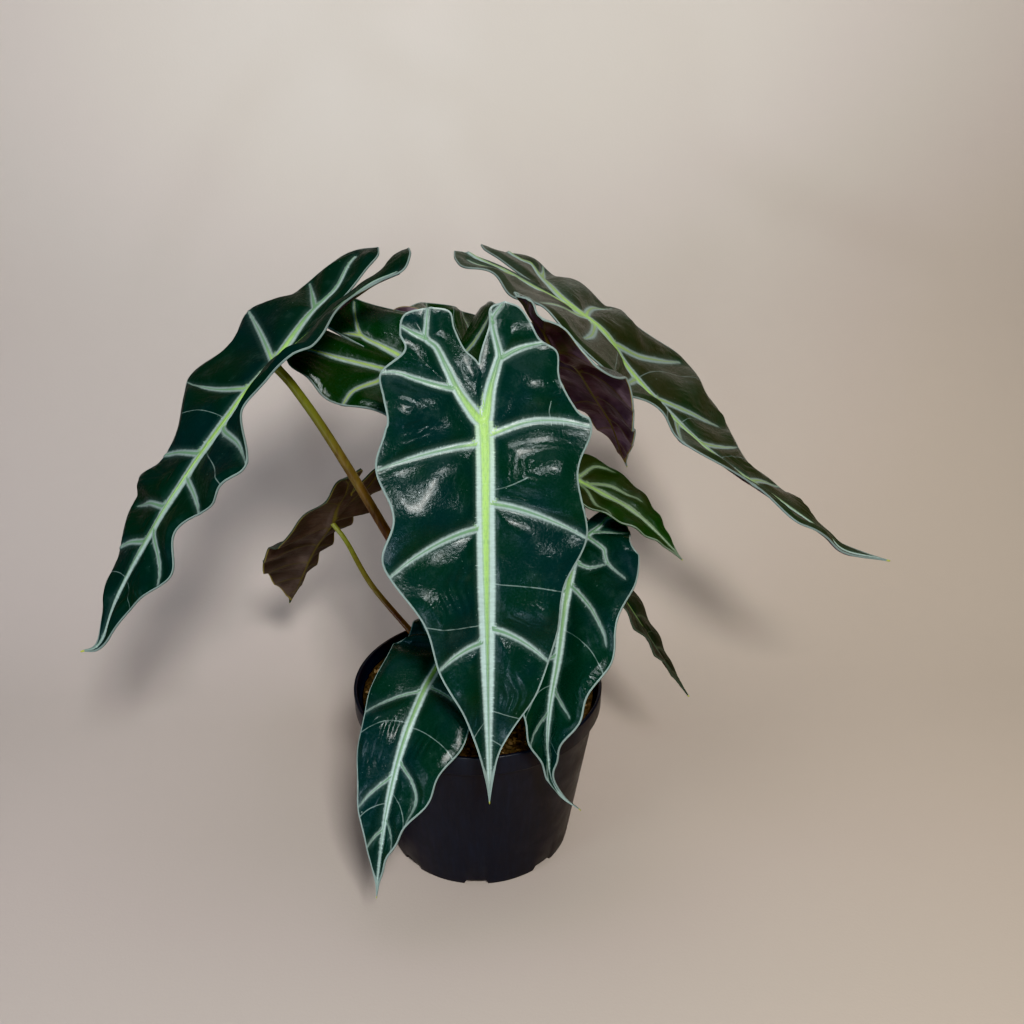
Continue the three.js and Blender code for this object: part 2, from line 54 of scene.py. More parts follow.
BLADE = 0.8  # thickness of a blade
RIB = 2.4  # depth of the midrib under the blade, at the stalk
SMALL_BLADE = 110  # a blade shorter than this has a finer mesh and a lower relief
DOME_REACH = 5.5  # how far from a vein the skin rises to its dome
EDGE_REACH = 7  # how far from the margin the relief dies out
RING_STEP = 3.6  # from one ripple to the next
ALL_GREEN = 0.955  # past this share of its length the tip is green all round
FAR = 50.0  # further than any mark on a blade reaches
PATH_STEPS = 40  # steps of a blade's curve from one point of its path to the next

STALK_ROWS = 34  # rows of faces from one point of a stalk's path to the next
STALK_SIDES = 28

SOIL_TOP = 77.0
SOIL_RINGS = 46
SOIL_STEPS = 150
HOLE_DEPTH = 15.0
GAP = 0.3  # clearance between the solids

POT_HEIGHT = 88.0
RIM_RADIUS = 60.0
RIM_BAND = 10.0
UNDER_RIM = 57.4
BASE_RADIUS = 45.0
WALL = 1.2
FOOT_HEIGHT = 3.0
FOOT_WIDTH = 6.0
FLOOR = 1.4
PAD_RADIUS = 16.0
NOTCHES = 8
NOTCH_HALF_WIDTH = 5.6
NOTCH_HEIGHT = 2.5
NOTCH_TURN = 3  # degrees from the first notch to the X axis

CAMERA_PLACE = (0, -0.446, 0.3945)  # in metres
CAMERA_TILT = 25.85  # degrees under the horizon
CAMERA_TURN = -2.12
SENSOR_WIDTH = 36

# Flat outline of half a blade, in blade lengths: [inner v, margin x, margin v, inner x] from the
# lobe's end to the tip. v runs along the midrib and is 0 at the stalk, x runs across.
RIBS = [
    [-1.0, 0.095, -1.0, 0.095],
    [-0.93, 0.14, -0.93, 0.058],
    [-0.8, 0.172, -0.76, 0.036],
    [-0.66, 0.188, -0.58, 0.016],
    [-0.5, 0.212, -0.38, 0],
    [-0.3, 0.245, -0.16, 0],
    [-0.1, 0.27, 0.02, 0],
    [0.09, 0.27, 0.15, 0],
    [0.23, 0.252, 0.3, 0],
    [0.38, 0.215, 0.45, 0],
    [0.54, 0.165, 0.6, 0],
    [0.69, 0.105, 0.74, 0],
    [0.82, 0.05, 0.85, 0],
    [0.92, 0.018, 0.93, 0],
    [1.0, 0.005, 1.0, 0],
]
FRONT_RIBS = [
    [
        [-1, 0.1, -1, 0.1],
        [-0.95, 0.165, -0.96, 0.055],
        [-0.8, 0.183, -0.8, 0.048],
        [-0.63, 0.177, -0.66, 0.03],
        [-0.5, 0.238, -0.5, 0],
        [-0.3, 0.24, -0.27, 0],
        [-0.11, 0.236, -0.03, 0],
        [0.03, 0.266, 0.108, 0],
        [0.14, 0.227, 0.225, 0],
        [0.25, 0.252, 0.335, 0],
        [0.38, 0.16, 0.483, 0],
        [0.52, 0.121, 0.621, 0],
        [0.66, 0.062, 0.74, 0],
        [0.84, 0.02, 0.88, 0],
        [1, 0.005, 1, 0],
    ],
    [
        [-1, 0.08, -1, 0.08],
        [-0.95, 0.115, -0.935, 0.042],
        [-0.8, 0.136, -0.8, 0.034],
        [-0.63, 0.155, -0.655, 0.012],
        [-0.5, 0.196, -0.53, 0],
        [-0.3, 0.193, -0.3, 0],
        [-0.11, 0.23, -0.06, 0],
        [0.03, 0.264, 0.022, 0],
        [0.14, 0.225, 0.125, 0],
        [0.25, 0.25, 0.28, 0],
        [0.38, 0.191, 0.405, 0],
        [0.52, 0.174, 0.53, 0],
        [0.66, 0.122, 0.681, 0],
        [0.84, 0.03, 0.84, 0],
        [1, 0.005, 1, 0],
    ],
]
LEFT_RIBS = [
    [
        [-1, 0.1, -1, 0.1],
        [-0.93, 0.175, -0.93, 0.058],
        [-0.8, 0.175, -0.76, 0.036],
        [-0.66, 0.222, -0.58, 0.016],
        [-0.5, 0.22, -0.44, 0],
        [-0.32, 0.262, -0.22, 0],
        [-0.08, 0.225, 0, 0],
        [0.07, 0.28, 0.12, 0],
        [0.2, 0.15, 0.3, 0],
        [0.36, 0.185, 0.45, 0],
        [0.49, 0.205, 0.57, 0],
        [0.62, 0.12, 0.66, 0],
        [0.73, 0.1, 0.76, 0],
        [0.86, 0.035, 0.87, 0],
        [1, 0.005, 1, 0],
    ],
    [
        [-1, 0.09, -1, 0.09],
        [-0.93, 0.15, -0.93, 0.058],
        [-0.8, 0.18, -0.8, 0.036],
        [-0.66, 0.11, -0.66, 0.016],
        [-0.5, 0.16, -0.42, 0],
        [-0.3, 0.24, -0.2, 0],
        [-0.1, 0.26, -0.02, 0],
        [0.05, 0.17, 0.08, 0],
        [0.13, 0.07, 0.16, 0],
        [0.2, 0.22, 0.25, 0],
        [0.34, 0.19, 0.36, 0],
        [0.46, 0.11, 0.5, 0],
        [0.56, 0.165, 0.6, 0],
        [0.8, 0.075, 0.8, 0],
        [1, 0.005, 1, 0],
    ],
]
RIGHT_RIBS = [
    [
        [-1, 0.095, -1, 0.095],
        [-0.93, 0.14, -0.93, 0.058],
        [-0.8, 0.175, -0.8, 0.036],
        [-0.64, 0.15, -0.64, 0.016],
        [-0.5, 0.2, -0.44, 0],
        [-0.27, 0.25, -0.2, 0],
        [-0.03, 0.25, 0.04, 0],
        [0.15, 0.21, 0.21, 0],
        [0.27, 0.12, 0.31, 0],
        [0.38, 0.165, 0.42, 0],
        [0.52, 0.12, 0.53, 0],
        [0.62, 0.06, 0.63, 0],
        [0.72, 0.1, 0.74, 0],
        [0.86, 0.035, 0.87, 0],
        [1, 0.005, 1, 0],
    ],
    [
        [-1, 0.09, -1, 0.09],
        [-0.93, 0.12, -0.93, 0.055],
        [-0.8, 0.15, -0.8, 0.034],
        [-0.66, 0.21, -0.65, 0.015],
        [-0.5, 0.225, -0.45, 0],
        [-0.3, 0.2, -0.22, 0],
        [-0.08, 0.22, 0, 0],
        [0.06, 0.165, 0.1, 0],
        [0.13, 0.31, 0.21, 0],
        [0.27, 0.235, 0.32, 0],
        [0.35, 0.265, 0.4, 0],
        [0.52, 0.105, 0.55, 0],
        [0.64, 0.15, 0.66, 0],
        [0.82, 0.055, 0.83, 0],
        [1, 0.005, 1, 0],
    ],
]
# The same outline with its two lobes nearly closed over the stalk.
CLOSED_RIBS = [[v0, x1, v1, x0 if i == 0 else 0.2 * x0] for i, (v0, x1, v1, x0) in enumerate(RIBS)]
LAST_RIB = len(RIBS) - 1
SINUS_RIB = 4  # the first rib that reaches the midrib
# Where the side veins of each half meet the margin.
VEIN_ENDS = [[-0.6, 0.02, 0.28, 0.5, 0.68, 0.84], [-0.52, 0.12, 0.38, 0.59, 0.76, 0.9]]

# Side veins of each half: (place on the midrib, place on the margin), or (x, v) points.
VEINS = [
    [(-0.02, 0.02), (0.18, 0.28), (0.40, 0.50), (0.60, 0.68), (0.78, 0.84)],
    [(0.05, 0.12), (0.27, 0.38), (0.50, 0.59), (0.69, 0.76), (0.84, 0.9)],
]
# Thin veins between them.
THREADS = [
    [(0.08, 0.14), (0.3, 0.39), (0.5, 0.59), (0.7, 0.76)],
    [(0.16, 0.24), (0.39, 0.48), (0.6, 0.68), (0.76, 0.82)],
]
# The lobe's vein and its branches, as (x, v) points.
LOBE_VEINS = [
    [(0, 0), (0.03, -0.25), (0.06, -0.5), (0.085, -0.72), (0.1, -0.97)],
    [(0.042, -0.34), (0.1, -0.42), (0.16, -0.48), (0.2, -0.52)],
    [(0.085, -0.72), (0.12, -0.78), (0.155, -0.85)],
]
# Veins of single leaves, for one half and then the other.
FRONT_LOBE_VEINS = [
    [
        [
            (0, 0), (0.022, -0.08), (0.055, -0.27), (0.078, -0.49), (0.098, -0.66), (0.12, -0.74),
            (0.116, -0.85), (0.108, -0.98),
        ],
        [(0.06, -0.3), (0.1, -0.34), (0.155, -0.42), (0.2, -0.49), (0.236, -0.5)],
        [(0.12, -0.74), (0.15, -0.8), (0.186, -0.88)],
    ],
    [
        [
            (0, 0), (0.008, -0.08), (0.022, -0.28), (0.045, -0.48), (0.053, -0.56), (0.045, -0.76),
            (0.046, -0.86), (0.072, -0.97),
        ],
        [(0.053, -0.52), (0.095, -0.58), (0.14, -0.61), (0.188, -0.62)],
        [(0.045, -0.82), (0.036, -0.93)],
    ],
]
LEFT_VEINS = [
    [
        [(0, 0), (0.025, -0.025), (0.138, -0.12), (0.267, -0.211)],
        [(0, 0.095), (0.125, 0.13), (0.26, 0.147)],
        [(0, 0.31), (0.024, 0.324), (0.112, 0.362), (0.195, 0.414)],
        [(0, 0.48), (0.014, 0.492), (0.093, 0.526), (0.167, 0.578)],
        [(0, 0.595), (0.015, 0.608), (0.073, 0.651), (0.114, 0.698)],
    ],
    [
        [(0, 0.215), (0.038, 0.229), (0.139, 0.233), (0.218, 0.255)],
        [(0, 0.38), (0.01, 0.388), (0.082, 0.405), (0.143, 0.427)],
        [(0, 0.55), (0.025, 0.569), (0.091, 0.599), (0.145, 0.638)],
    ],
]
LEFT_LOBE_VEINS = [
    [
        [(0, 0), (0.03, -0.2), (0.065, -0.405), (0.076, -0.525), (0.086, -0.655), (0.135, -0.866)],
        [(0.066, -0.43), (0.14, -0.51), (0.208, -0.581)],
    ],
    [
        [(0, 0), (0.05, -0.2), (0.105, -0.452), (0.101, -0.667), (0.153, -0.801)],
    ],
]
RIGHT_VEINS = [
    [
        [(0, 0.02), (0.101, 0.035), (0.18, 0.031)],
        [(0, 0.2), (0.1, 0.2), (0.147, 0.194)],
        (0.36, 0.44),
        (0.54, 0.62),
    ],
    [
        [(0, -0.03), (0.06, -0.06), (0.126, -0.06), (0.201, 0.009)],
        [(0, 0.09), (0.021, 0.104), (0.094, 0.16), (0.198, 0.199), (0.28, 0.22)],
        [(0, 0.27), (0.024, 0.285), (0.066, 0.328), (0.124, 0.367), (0.198, 0.405)],
        [(0, 0.43), (0.018, 0.444), (0.072, 0.47), (0.141, 0.496)],
        (0.6, 0.66),
    ],
]
RIGHT_LOBE_VEINS = [
    [
        [
            (0, 0), (0.02, -0.1), (0.027, -0.176), (0.026, -0.413), (0.035, -0.607), (0.05, -0.745),
            (0.06, -0.956),
        ],
        [(0.035, -0.607), (0.079, -0.672), (0.101, -0.779), (0.098, -0.879)],
        [(0.01, -0.03), (0.06, -0.077), (0.114, -0.172), (0.22, -0.24)],
    ],
    [
        [
            (0, 0), (0.002, -0.1), (0.032, -0.306), (0.117, -0.508), (0.156, -0.642),
            (0.128, -0.715), (0.146, -0.861),
        ],
        [(0.117, -0.508), (0.185, -0.56), (0.21, -0.6)],
    ],
]
BACK_LOBE_VEINS = [
    [
        [(0, 0), (0.02, -0.15), (0.042, -0.318), (0.059, -0.551), (0.077, -0.784), (0.085, -0.93)],
        [(0.042, -0.3), (0.093, -0.34), (0.152, -0.478), (0.216, -0.504), (0.25, -0.461)],
    ],
    [
        [
            (0, 0), (0.02, -0.12), (0.036, -0.241), (0.043, -0.387), (0.048, -0.534),
            (0.097, -0.607), (0.157, -0.663),
        ],
        [(0.048, -0.534), (0.031, -0.603), (0.013, -0.659)],
    ],
]
SMALL_VEINS = [
    [[(0, 0.03), (0.034, 0.087), (0.17, 0.289), (0.21, 0.42)]],
    [
        [(0, 0.0), (0.042, 0.026), (0.19, 0.043), (0.24, 0.12), (0.235, 0.2)],
        [(0, 0.1), (0.06, 0.17), (0.11, 0.33), (0.12, 0.5)],
    ],
]
LOW_RIGHT_VEINS = [
    VEINS[0],
    [
        [(0.02, -0.24), (0.043, -0.198), (0.104, -0.051), (0.147, 0.052), (0.233, 0.112)],
        [(0, 0.065), (0.022, 0.069), (0.077, 0.082), (0.149, 0.061)],
        [(0, 0.15), (0.017, 0.16), (0.08, 0.199), (0.135, 0.237), (0.192, 0.293), (0.21, 0.33)],
        [(0, 0.51), (0.02, 0.52), (0.118, 0.578)],
    ],
]
LOW_LEFT_VEINS = [
    [
        [(0, 0.22), (0.022, 0.229), (0.111, 0.268), (0.187, 0.319), (0.225, 0.36)],
        [(0, 0.53), (0.018, 0.548), (0.1, 0.621), (0.135, 0.665)],
        (0.74, 0.8),
    ],
    [
        (0.2, 0.28),
        [(0, 0.48), (0.027, 0.496), (0.083, 0.53), (0.121, 0.586), (0.128, 0.66)],
        (0.7, 0.78),
    ],
]
LOW_LEFT_LOBE_VEINS = [
    [
        [(0, 0), (0.03, -0.2), (0.06, -0.4), (0.083, -0.491), (0.1, -0.7), (0.11, -0.95)],
        [(0.083, -0.491), (0.154, -0.491), (0.19, -0.5)],
    ],
    LOBE_VEINS,
]

# Each leaf:
# - path: points of the midrib from the lobes' ends, by the stalk's top, to the tip
# - roll, twist: degrees that the whole blade, and each point of it, is turned about the path
# - fold: degrees that each half is raised, at each point of the path
# - width: factor on the width of each half, for all of it or at each point
# - wave, scallop: waves of the margin, up and down in millimetres, in and out as a share
# - ribs, ends: the blade's own outline, and where its side veins meet the margin
# - foot, stalk: the stalk's place in the soil, and the points that it passes
# - radius, slim: the stalk's radius at its foot and at its top, and a factor on both
# - seat: more room between the stalk and the blade
# - veins, threads, lobe_veins: the blade's own veins
# - vein, midrib: half widths of the side veins and of the midrib
# - rim, lime: factors on the pale margin's width and on the green of the veins near the stalk
# - look: finish of the upper side; some finishes carry painted shade, sheen or light in their
#   greens
LEAVES = [
    {
        "name": "left",
        "path": [
            [-32, 34, 288], [-83, -5, 251], [-102, -22, 232], [-127, -36, 200], [-149, -42, 165],
            [-160, -44, 141], [-168, -46, 138],
        ],
        "twist": [9, 13, 12, 8, 8, -3, 0],
        "fold": [[7, 16, 14, 2, 0, 12, 0], [7, 14, -2, -12, -11, 6, 0]],
        "width": [1, 1],
        "wave": 2.5,
        "scallop": 0,
        "ribs": LEFT_RIBS,
        "ends": [[-0.55, 0.1, 0.42, 0.56, 0.75, 0.87], [-0.8, -0.1, 0.26, 0.4, 0.6, 0.8]],
        "foot": [-11, -2],
        "stalk": [[-24, 6, 128], [-43, 4, 172], [-63, 1, 215]],
        "radius": [4.2, 2.8],
        "slim": 0.72,
        "veins": LEFT_VEINS,
        "threads": [[(0.2, 0.27), (0.724, 0.772)], [(0.3, 0.33), (0.7, 0.76)]],
        "lobe_veins": LEFT_LOBE_VEINS,
        "vein": 1.5,
        "midrib": 3.0,
        "rim": 0.5,
        "look": "deep_shaded",
    },
    {
        "name": "front",
        "path": [
            [0, -18, 279], [4, -38, 236], [4, -56, 196], [4, -68, 150], [4, -76, 110], [4, -79, 79],
        ],
        "fold": [[0, 5, 5, 5, 10, 30], [0, 5, 5, 5, 10, 30]],
        "width": [1, 1],
        "wave": 2,
        "scallop": 0,
        "ribs": FRONT_RIBS,
        "ends": [[-0.5, 0.11, 0.34, 0.62, 0.78, 0.9], [-0.55, 0.02, 0.285, 0.6, 0.76, 0.88]],
        "foot": [1, -4],
        "stalk": [[9, -3, 125], [7, -6, 200]],
        "radius": [4.2, 2.9],
        "veins": [
            [(0.05, 0.115), (0.255, 0.365), (0.545, 0.61)],
            [
                [(0, 0.035), (0.04, 0.02), (0.11, 0.002), (0.19, 0.004), (0.262, 0.02)],
                (0.195, 0.285), (0.51, 0.6),
            ],
        ],
        "threads": [
            [(0.5, 0.49), (0.76, 0.8)],
            [
                (0.395, 0.415), (0.73, 0.75), (0.81, 0.825),
                [(0, 0.165), (0.05, 0.155), (0.1, 0.135)],
                [(0.165, 0.0), (0.16, -0.06), (0.165, -0.13)],
            ],
        ],
        "lobe_veins": FRONT_LOBE_VEINS,
        "vein": 1.5,
        "midrib": 3.8,
    },
    {
        "name": "right",
        "path": [
            [-1, 92, 278], [56, 64, 249], [74, 57, 227], [93, 44, 208], [115, 26, 192],
            [139, 10, 179], [160, -1, 166], [169, -6, 159], [189, -10, 155],
        ],
        "twist": [-6, -11, -6, -11, -12, -12, -14, -8, 0],
        "fold": [[-3, 1, 1, 3, 1, -2, -4, 5, 0], [-3, 4, 12, 15, 8, 3, -2, 5, 0]],
        "width": [0.95, 0.98],
        "wave": 2.5,
        "scallop": 0,
        "ribs": RIGHT_RIBS,
        "ends": [[-0.44, 0.04, 0.21, 0.42, 0.74, 0.87], [-0.5, -0.02, 0.21, 0.4, 0.66, 0.84]],
        "foot": [6, 13],
        "stalk": [[8, 22, 150], [27, 44, 212], [46, 62, 232]],
        "seat": 0.4,
        "radius": [4.2, 2.9],
        "veins": RIGHT_VEINS,
        "threads": [[(0.1, 0.12), (0.3, 0.36)], [(0.2, 0.3), (0.36, 0.44), (0.5, 0.56)]],
        "lobe_veins": RIGHT_LOBE_VEINS,
        "vein": 2.0,
        "midrib": 3.9,
        "rim": 0.6,
        "look": "sheen",
        "lime": 1.0,
    },
    {
        "name": "back_left",
        "path": [
            [-77, 30, 262], [-22, 40, 230], [-10, 70, 228], [4, 100, 224], [19, 128, 217],
            [33, 150, 205],
        ],
        "roll": 25,
        "twist": [0, 0, -30, -30, -30, -30],
        "fold": [[-33, -6, 65, 65, 55, 20], [20, 25, 45, 45, 40, 20]],
        "width": [[1.4, 1.25, 1, 1, 1, 1], 1],
        "wave": 2.5,
        "scallop": 0.06,
        "ribs": [CLOSED_RIBS, CLOSED_RIBS],
        "foot": [-5, 9],
        "stalk": [[-7, 16, 140], [-15, 26, 200]],
        "seat": 0.1,
        "radius": [4, 2.7],
        "lobe_veins": BACK_LOBE_VEINS,
        "vein": 1.45,
        "midrib": 2.6,
        "rim": 0.6,
        "look": "lit",
        "lime": 1.4,
    },
    {
        "name": "back_right",
        "path": [
            [17, 8, 275], [36, 4, 252], [46, 12, 243], [56, 26, 225], [67, 40, 204], [76, 56, 175],
        ],
        "fold": [[10, 22, 17, 8, 0, 0], [10, 10, -5, -15, -25, -10]],
        "width": [1, [1, 1, 1, 1.3, 1.3, 1]],
        "wave": 2,
        "scallop": 0.06,
        "foot": [12, 2],
        "stalk": [[16, 9, 140], [22, 14, 205]],
        "seat": 0.2,
        "radius": [3.6, 2.4],
        "vein": 0.9,
        "midrib": 1.9,
    },
    {
        "name": "small_right",
        "path": [
            [32, 10, 204], [44, 0, 195], [55, -8, 191], [67, -16, 187], [78, -22, 179],
            [90, -26, 166],
        ],
        "fold": [[5, 5, 5, 0, 0, 5], [10, 15, 12, 5, 0, 5]],
        "width": [1, 1],
        "wave": 0.5,
        "scallop": 0,
        "foot": [17, -9],
        "stalk": [[24, 2, 120], [36, 8, 165]],
        "radius": [2.6, 1.8],
        "veins": SMALL_VEINS,
        "threads": [[], []],
        "vein": 1.2,
        "midrib": 2.0,
        "rim": 0.6,
        "look": "young",
        "lime": 0.7,
    },
    {
        "name": "low_right",
        "path": [
            [53, 0, 181], [44, -22, 172], [38, -42, 157], [34, -54, 134], [30, -62, 112],
            [30, -66, 88], [35, -69, 75], [44, -72, 68],
        ],
        "fold": [[10, 10, 20, 35, 60, 80, 80, 0], [0, 0, 10, 20, 35, 45, 45, 0]],
        "width": [
            [0.45, 0.6, 0.75, 0.8, 0.8, 0.55, 0.35, 0.3],
            [0.8, 0.8, 0.8, 0.8, 0.8, 0.5, 0.35, 0.3],
        ],
        "wave": 1.5,
        "scallop": 0.05,
        "foot": [7, -15],
        "stalk": [[11, -14, 110], [28, -12, 150]],
        "radius": [3.2, 2.2],
        "veins": LOW_RIGHT_VEINS,
        "threads": [[(0.3, 0.39), (0.5, 0.59)], [(0.31, 0.42), (0.66, 0.72)]],
        "vein": 1.05,
        "midrib": 2.1,
        "rim": 0.7,
        "lime": 0.5,
    },
    {
        "name": "low_left",
        "path": [
            [-17, 0, 125], [-14, -20, 121], [-24, -44, 113], [-32, -60, 100], [-38, -70, 82],
            [-43, -78, 57], [-46, -84, 32],
        ],
        "fold": [[0, 0, 0, 5, 10, 40, 30], [0, 0, 0, 5, 10, 40, 30]],
        "width": [0.72, [0.74, 0.8, 0.85, 0.88, 0.9, 0.85, 0.8]],
        "wave": 1.5,
        "scallop": 0.04,
        "foot": [-9, -14],
        "stalk": [[-10, -14, 90], [-12, -15, 102]],
        "radius": [3, 2.2],
        "veins": LOW_LEFT_VEINS,
        "threads": [[(0.35, 0.43), (0.64, 0.7)], [(0.36, 0.42), (0.6, 0.68)]],
        "lobe_veins": LOW_LEFT_LOBE_VEINS,
        "vein": 0.8,
        "midrib": 2.1,
        "rim": 0.7,
        "lime": 0.55,
    },
    {
        "name": "low_back",
        "path": [
            [41, 30, 170], [50, 22, 155], [62, 14, 139], [75, 8, 120], [87, 2, 102], [103, -4, 78],
        ],
        "roll": -25,
        "fold": [[4, 4, 4, 4, 4, 4], [4, 4, 4, 4, 4, 4]],
        "width": [0.8, 0.8],
        "wave": 1,
        "scallop": 0.04,
        "foot": [22, 8],
        "stalk": [[26, 10, 110], [36, 14, 135]],
        "radius": [2.8, 1.9],
        "vein": 0.6,
        "midrib": 1.2,
        "look": "dull",
    },
    {
        "name": "small_left",
        "path": [[-49, 44, 184], [-74, 60, 146], [-87, 76, 122], [-97, 90, 98], [-107, 102, 73]],
        "fold": [[-18, -6, 6, 10, 14], [2, 8, 18, 28, 30]],
        "width": [1, [1, 1, 1.2, 1.5, 1.6]],
        "wave": 2,
        "scallop": 0.03,
        "foot": [-19, 8],
        "stalk": [[-28, 14, 100], [-52, 34, 122]],
        "radius": [2.4, 1.5],
        "slim": 0.85,
        "vein": 0.6,
        "midrib": 1.2,
        "look": "dull",
    },
]

# Colours that the settings don't hold.
YELLOW_TIP = (0.42, 0.46, 0.10)
YELLOW_CORE = (0.26, 0.38, 0.15)
# Bright yellow-green vein core of the lit finish: painted light shining through the blade.
PAINTED_LIT_CORE = (0.30, 0.42, 0.14)
YOUNG_MINT, YOUNG_CORE = (0.27, 0.36, 0.26), (0.22, 0.32, 0.17)
DULL_MINT, DULL_CORE = (0.13, 0.16, 0.13), (0.09, 0.11, 0.07)
# Greyer greens of the sheen finish: painted sheen, the grazing reflection laid into the blade's
# colour.
PAINTED_SHEEN_GREENS = (0.02, 0.034, 0.018), (0.028, 0.032, 0.018)
# Yellower greens of the lit finish: painted light shining through the blade.
PAINTED_LIT_GREENS = (0.003, 0.022, 0.004), (0.009, 0.024, 0.006)
# Greens of the young finish: the first is the blade's own green; the second, grey olive, is painted
# sheen, mixed in clouds with it.
YOUNG_GREEN_AND_PAINTED_SHEEN = (0.006, 0.028, 0.004), (0.026, 0.032, 0.016)
# Grey greens of the dull finish: painted sheen, laid into the colour of a blade with little gloss.
DULL_PAINTED_SHEEN_GREENS = (0.012, 0.02, 0.014), (0.018, 0.02, 0.017)
BROWN = (0.070, 0.056, 0.050)
# Paler paper colour for the middle of the wall: a painted pool of light.
PAINTED_WALL_LIGHT = (0.735, 0.70, 0.66)


class PLANT_blade_settings(bpy.types.PropertyGroup):
    """Sizes and colours of the blades."""

    spacing: FloatProperty(
        name="Mesh spacing",
        description="Length of a face of the blades",
        default=0.8 * MM,
        min=0.4 * MM,
        unit="LENGTH",
    )
    pucker: FloatProperty(
        name="Pucker",
        description="Height of the blade between its veins",
        default=2.6 * MM,
        unit="LENGTH",
    )
    crumple: FloatProperty(
        name="Crumple", description="Height of the broad bumps", default=0.85 * MM, unit="LENGTH"
    )
    ripple: FloatProperty(
        name="Ripple",
        description="Height of the ripples beside the veins",
        default=0.17 * MM,
        unit="LENGTH",
    )
    margin: FloatProperty(
        name="Pale margin",
        description="Width of the pale line round a blade",
        default=0.75 * MM,
        unit="LENGTH",
    )
    green: FloatVectorProperty(
        name="Green",
        description="Colour of a grown blade",
        default=(0.0045, 0.021, 0.011),
        subtype="COLOR",
    )
    blue_green: FloatVectorProperty(
        name="Blue green",
        description="Second colour of a grown blade",
        default=(0.005, 0.019, 0.018),
        subtype="COLOR",
    )
    mint: FloatVectorProperty(
        name="Mint", description="Colour of the veins", default=(0.46, 0.61, 0.58), subtype="COLOR"
    )
    lime: FloatVectorProperty(
        name="Lime",
        description="Colour of the midrib at the stalk",
        default=(0.37, 0.61, 0.17),
        subtype="COLOR",
    )
    leaf_core: FloatVectorProperty(
        name="Vein core",
        description="Colour along the middle of a vein",
        default=(0.15, 0.28, 0.17),
        subtype="COLOR",
    )
    purple: FloatVectorProperty(
        name="Purple",
        description="Colour of a grown blade's underside",
        default=(0.145, 0.112, 0.135),
        subtype="COLOR",
    )
    olive: FloatVectorProperty(
        name="Olive",
        description="Colour of the veins underneath",
        default=(0.13, 0.11, 0.03),
        subtype="COLOR",
    )


class PLANT_stalk_settings(bpy.types.PropertyGroup):
    """Sizes and colours of the stalks."""

    green: FloatVectorProperty(
        name="Green",
        description="Colour of a stalk under its blade",
        default=(0.135, 0.15, 0.035),
        subtype="COLOR",
    )
    brown: FloatVectorProperty(
        name="Brown",
        description="Colour of a stalk near the soil",
        default=(0.14, 0.065, 0.035),
        subtype="COLOR",
    )
    fleck: FloatVectorProperty(
        name="Fleck",
        description="Colour of the flecks on a stalk",
        default=(0.045, 0.018, 0.014),
        subtype="COLOR",
    )


class PLANT_pot_settings(bpy.types.PropertyGroup):
    """Finish of the pot."""

    steps: IntProperty(name="Steps", description="Steps round the pot", default=240, min=24)
    plastic: FloatVectorProperty(
        name="Plastic",
        description="Colour of the pot",
        default=(0.009, 0.012, 0.019),
        subtype="COLOR",
    )
    dust: FloatVectorProperty(
        name="Dust",
        description="Colour of the dust on the pot",
        default=(0.06, 0.05, 0.04),
        subtype="COLOR",
    )
    roughness: FloatProperty(
        name="Roughness",
        description="Roughness of the plastic",
        default=0.44,
        min=0,
        max=1,
        subtype="FACTOR",
    )


class PLANT_soil_settings(bpy.types.PropertyGroup):
    """Grain and colours of the soil."""

    chips: IntProperty(
        name="Chips", description="Number of bark chips on the soil", default=900, min=0
    )
    chip: FloatProperty(
        name="Chip size", description="Length of a bark chip", default=4.2 * MM, unit="LENGTH"
    )
    peat: FloatVectorProperty(
        name="Peat", description="Colour of the soil", default=(0.06, 0.043, 0.028), subtype="COLOR"
    )
    bark: FloatVectorProperty(
        name="Bark",
        description="Colour of the light chips",
        default=(0.48, 0.36, 0.23),
        subtype="COLOR",
    )


class PLANT_stage_settings(bpy.types.PropertyGroup):
    """Backdrop, lights and camera."""

    backdrop: FloatVectorProperty(
        name="Backdrop",
        description="Colour of the floor and the wall",
        default=(0.545, 0.498, 0.478),
        subtype="COLOR",
    )
    key: FloatProperty(
        name="Front light",
        description="Power of the light above the camera",
        default=8.0,
        subtype="POWER",
    )
    fill: FloatProperty(
        name="Left light",
        description="Power of the low light at the left",
        default=2.0,
        subtype="POWER",
    )
    low: FloatProperty(
        name="Low light",
        description="Power of the low light in front",
        default=0.35,
        subtype="POWER",
    )
    wall: FloatProperty(
        name="Wall light",
        description="Power of the light on the upper wall",
        default=3.0,
        subtype="POWER",
    )
    room: FloatProperty(
        name="Room light", description="Strength of the light from all round", default=0.1
    )
    lens: FloatProperty(
        name="Lens", description="Focal length of the camera", default=38.67, unit="CAMERA"
    )


